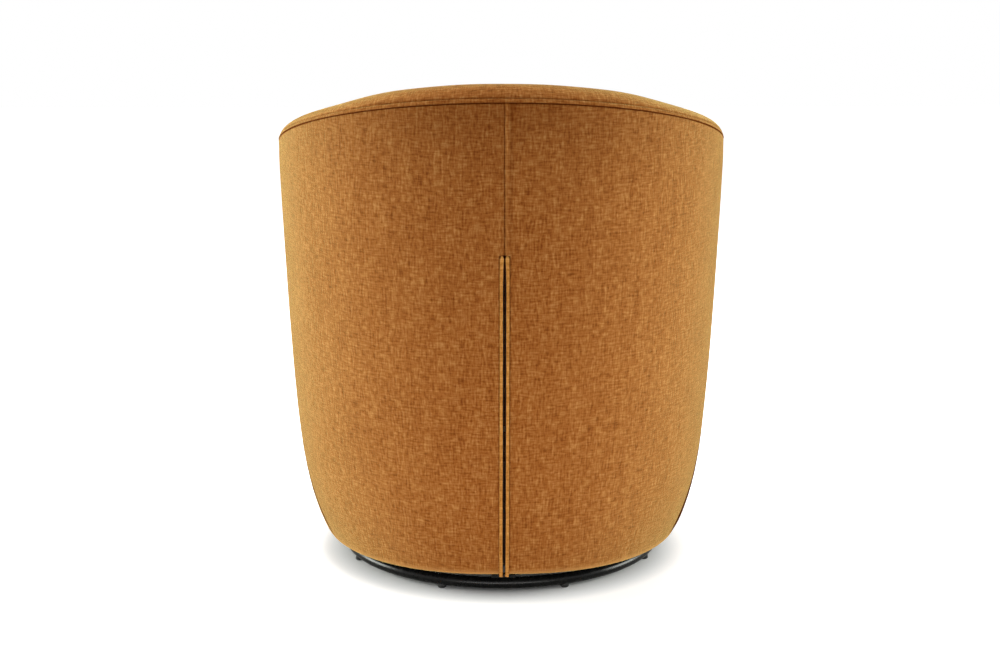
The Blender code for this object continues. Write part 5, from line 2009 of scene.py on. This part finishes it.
@dataclass
class Studio:
    """The pale floor, the white surround, the soft lights and the camera."""

    focal: float = 72.0
    sensor: float = 36.0
    distance: float = 3.196
    eye_height: float = 1.054
    azimuth: float = math.radians(0.8)
    beside: float = 0.0019
    pitch: float = math.radians(12.34)
    floor_size: float = 14.0
    floor_white: float = 0.86
    glow_near: tuple[float, float] = (0.24, 0.31)
    glow_far: tuple[float, float] = (0.35, 1.1)
    glow_share: float = 0.68
    ambient: float = 0.10
    mirrored: float = 0.75
    aim: tuple[float, float, float] = (0.0, 0.0, 0.4)
    lights: tuple[tuple[str, tuple[float, float, float], tuple[float, float], float, Colour], ...] = (
        ("key", (3.0, -0.5, 0.7), (1.4, 1.4), 101.0, (1.0, 1.04, 0.96)),
        ("fill", (-3.0, -0.22, 0.7), (1.4, 1.4), 88.0, (1.0, 1.04, 0.96)),
        ("bounce", (0.0, 1.8, 0.08), (1.8, 0.4), 14.6, (1.0, 0.97, 0.94)),
        ("low", (0.0, 0.85, 0.04), (1.0, 0.05), 0.50, (1.0, 0.97, 0.94)),
        ("crown", (0.3, 0.05, 2.8), (1.0, 1.2), 55.0, WHITE),
        ("face", (-0.7, -3.0, 1.2), (2.0, 1.6), 30.0, WHITE),
    )

    def floor(self) -> None:
        """Make a wide flat floor that shows white but keeps the chair's shadow."""
        size = self.floor_size / 2
        axis = np.linspace(-size, size, 3)
        x, y = np.meshgrid(axis, axis, indexing="ij")
        points = np.stack([x, y, np.zeros_like(x)], axis=-1)
        mesh = Skin("floor").grid(points, points[..., :2]).mesh()
        graph, shader = Finish("studio_floor", roughness=0.9).start(
            Base_Color=(self.floor_white,) * 3, Specular_IOR_Level=0.1, Emission_Color=WHITE
        )
        where = graph.add("ShaderNodeVectorMath", operation="LENGTH")
        graph.put(graph.add("ShaderNodeTexCoord").outputs["Object"], where.inputs[0])
        near = graph.spread(where.outputs["Value"], *self.glow_near, 0.0, self.glow_share)
        far = graph.spread(where.outputs["Value"], *self.glow_far, 0.0, 1.0 - self.glow_share)
        seen = graph.times(graph.add("ShaderNodeLightPath").outputs["Is Camera Ray"], graph.plus(near, far))
        graph.put(seen, shader.inputs["Emission Strength"])
        mesh.materials.append(bpy.data.materials["studio_floor"])
        placed("floor", mesh)

    def world(self) -> None:
        """Light the surround white for the camera and gently for the object."""
        world = bpy.data.worlds.new("surround")
        world.use_nodes = True
        bpy.context.scene.world = world
        graph = Graph(world.node_tree)
        background = world.node_tree.nodes["Background"]
        path = graph.add("ShaderNodeLightPath").outputs
        seen = graph.math("MAXIMUM", path["Is Camera Ray"], path["Is Transmission Ray"])
        seen = graph.math("MAXIMUM", seen, graph.times(path["Is Glossy Ray"], self.mirrored))
        strength = graph.plus(graph.times(seen, 1.0 - self.ambient), self.ambient, clamp=True)
        graph.put(strength, background.inputs["Strength"])
        graph.put(WHITE, background.inputs["Color"])

    def lamps(self) -> None:
        """Set the area lights, each turned to the chair's middle."""
        for name, place, size, power, colour in self.lights:
            light = bpy.data.lights.new(name, "AREA")
            light.shape = "RECTANGLE"
            light.size, light.size_y = size
            light.energy = power
            light.color = colour
            lamp = placed(name, light)
            back = unit(np.array(place) - np.array(self.aim))
            lamp.location = place
            lamp.rotation_euler = (math.acos(back[2]), 0.0, math.atan2(back[0], -back[1]))

    def camera(self) -> None:
        """Set the camera behind the chair, at the photo's height and pitch."""
        lens = bpy.data.cameras.new("camera")
        lens.lens = self.focal
        lens.sensor_width = self.sensor
        camera = placed("camera", lens)
        sin, cos = math.sin(self.azimuth), math.cos(self.azimuth)
        x = self.distance * sin + self.beside * cos
        camera.location = (x, self.distance * cos - self.beside * sin, self.eye_height)
        camera.rotation_euler = (math.pi / 2 - self.pitch, 0.0, math.pi - self.azimuth)
        bpy.context.scene.camera = camera

    def build(self) -> None:
        """Make the floor, surround, lamps and camera."""
        self.floor()
        self.world()
        self.lamps()
        self.camera()
        bpy.context.scene.view_settings.view_transform = "Standard"


def main() -> None:
    """Build the studio and every sub-assembly in order."""
    logging.basicConfig(level=logging.INFO, format="%(name)s %(message)s")
    parts = (Studio(), PlainNodes(), Base(), OuterCovers(), Apron(), RimBorder(), Shell(), SeatCushion(), Zip())
    for part in parts:
        LOG.info("building %s", type(part).__name__)
        part.build()


if __name__ == "__main__":
    main()
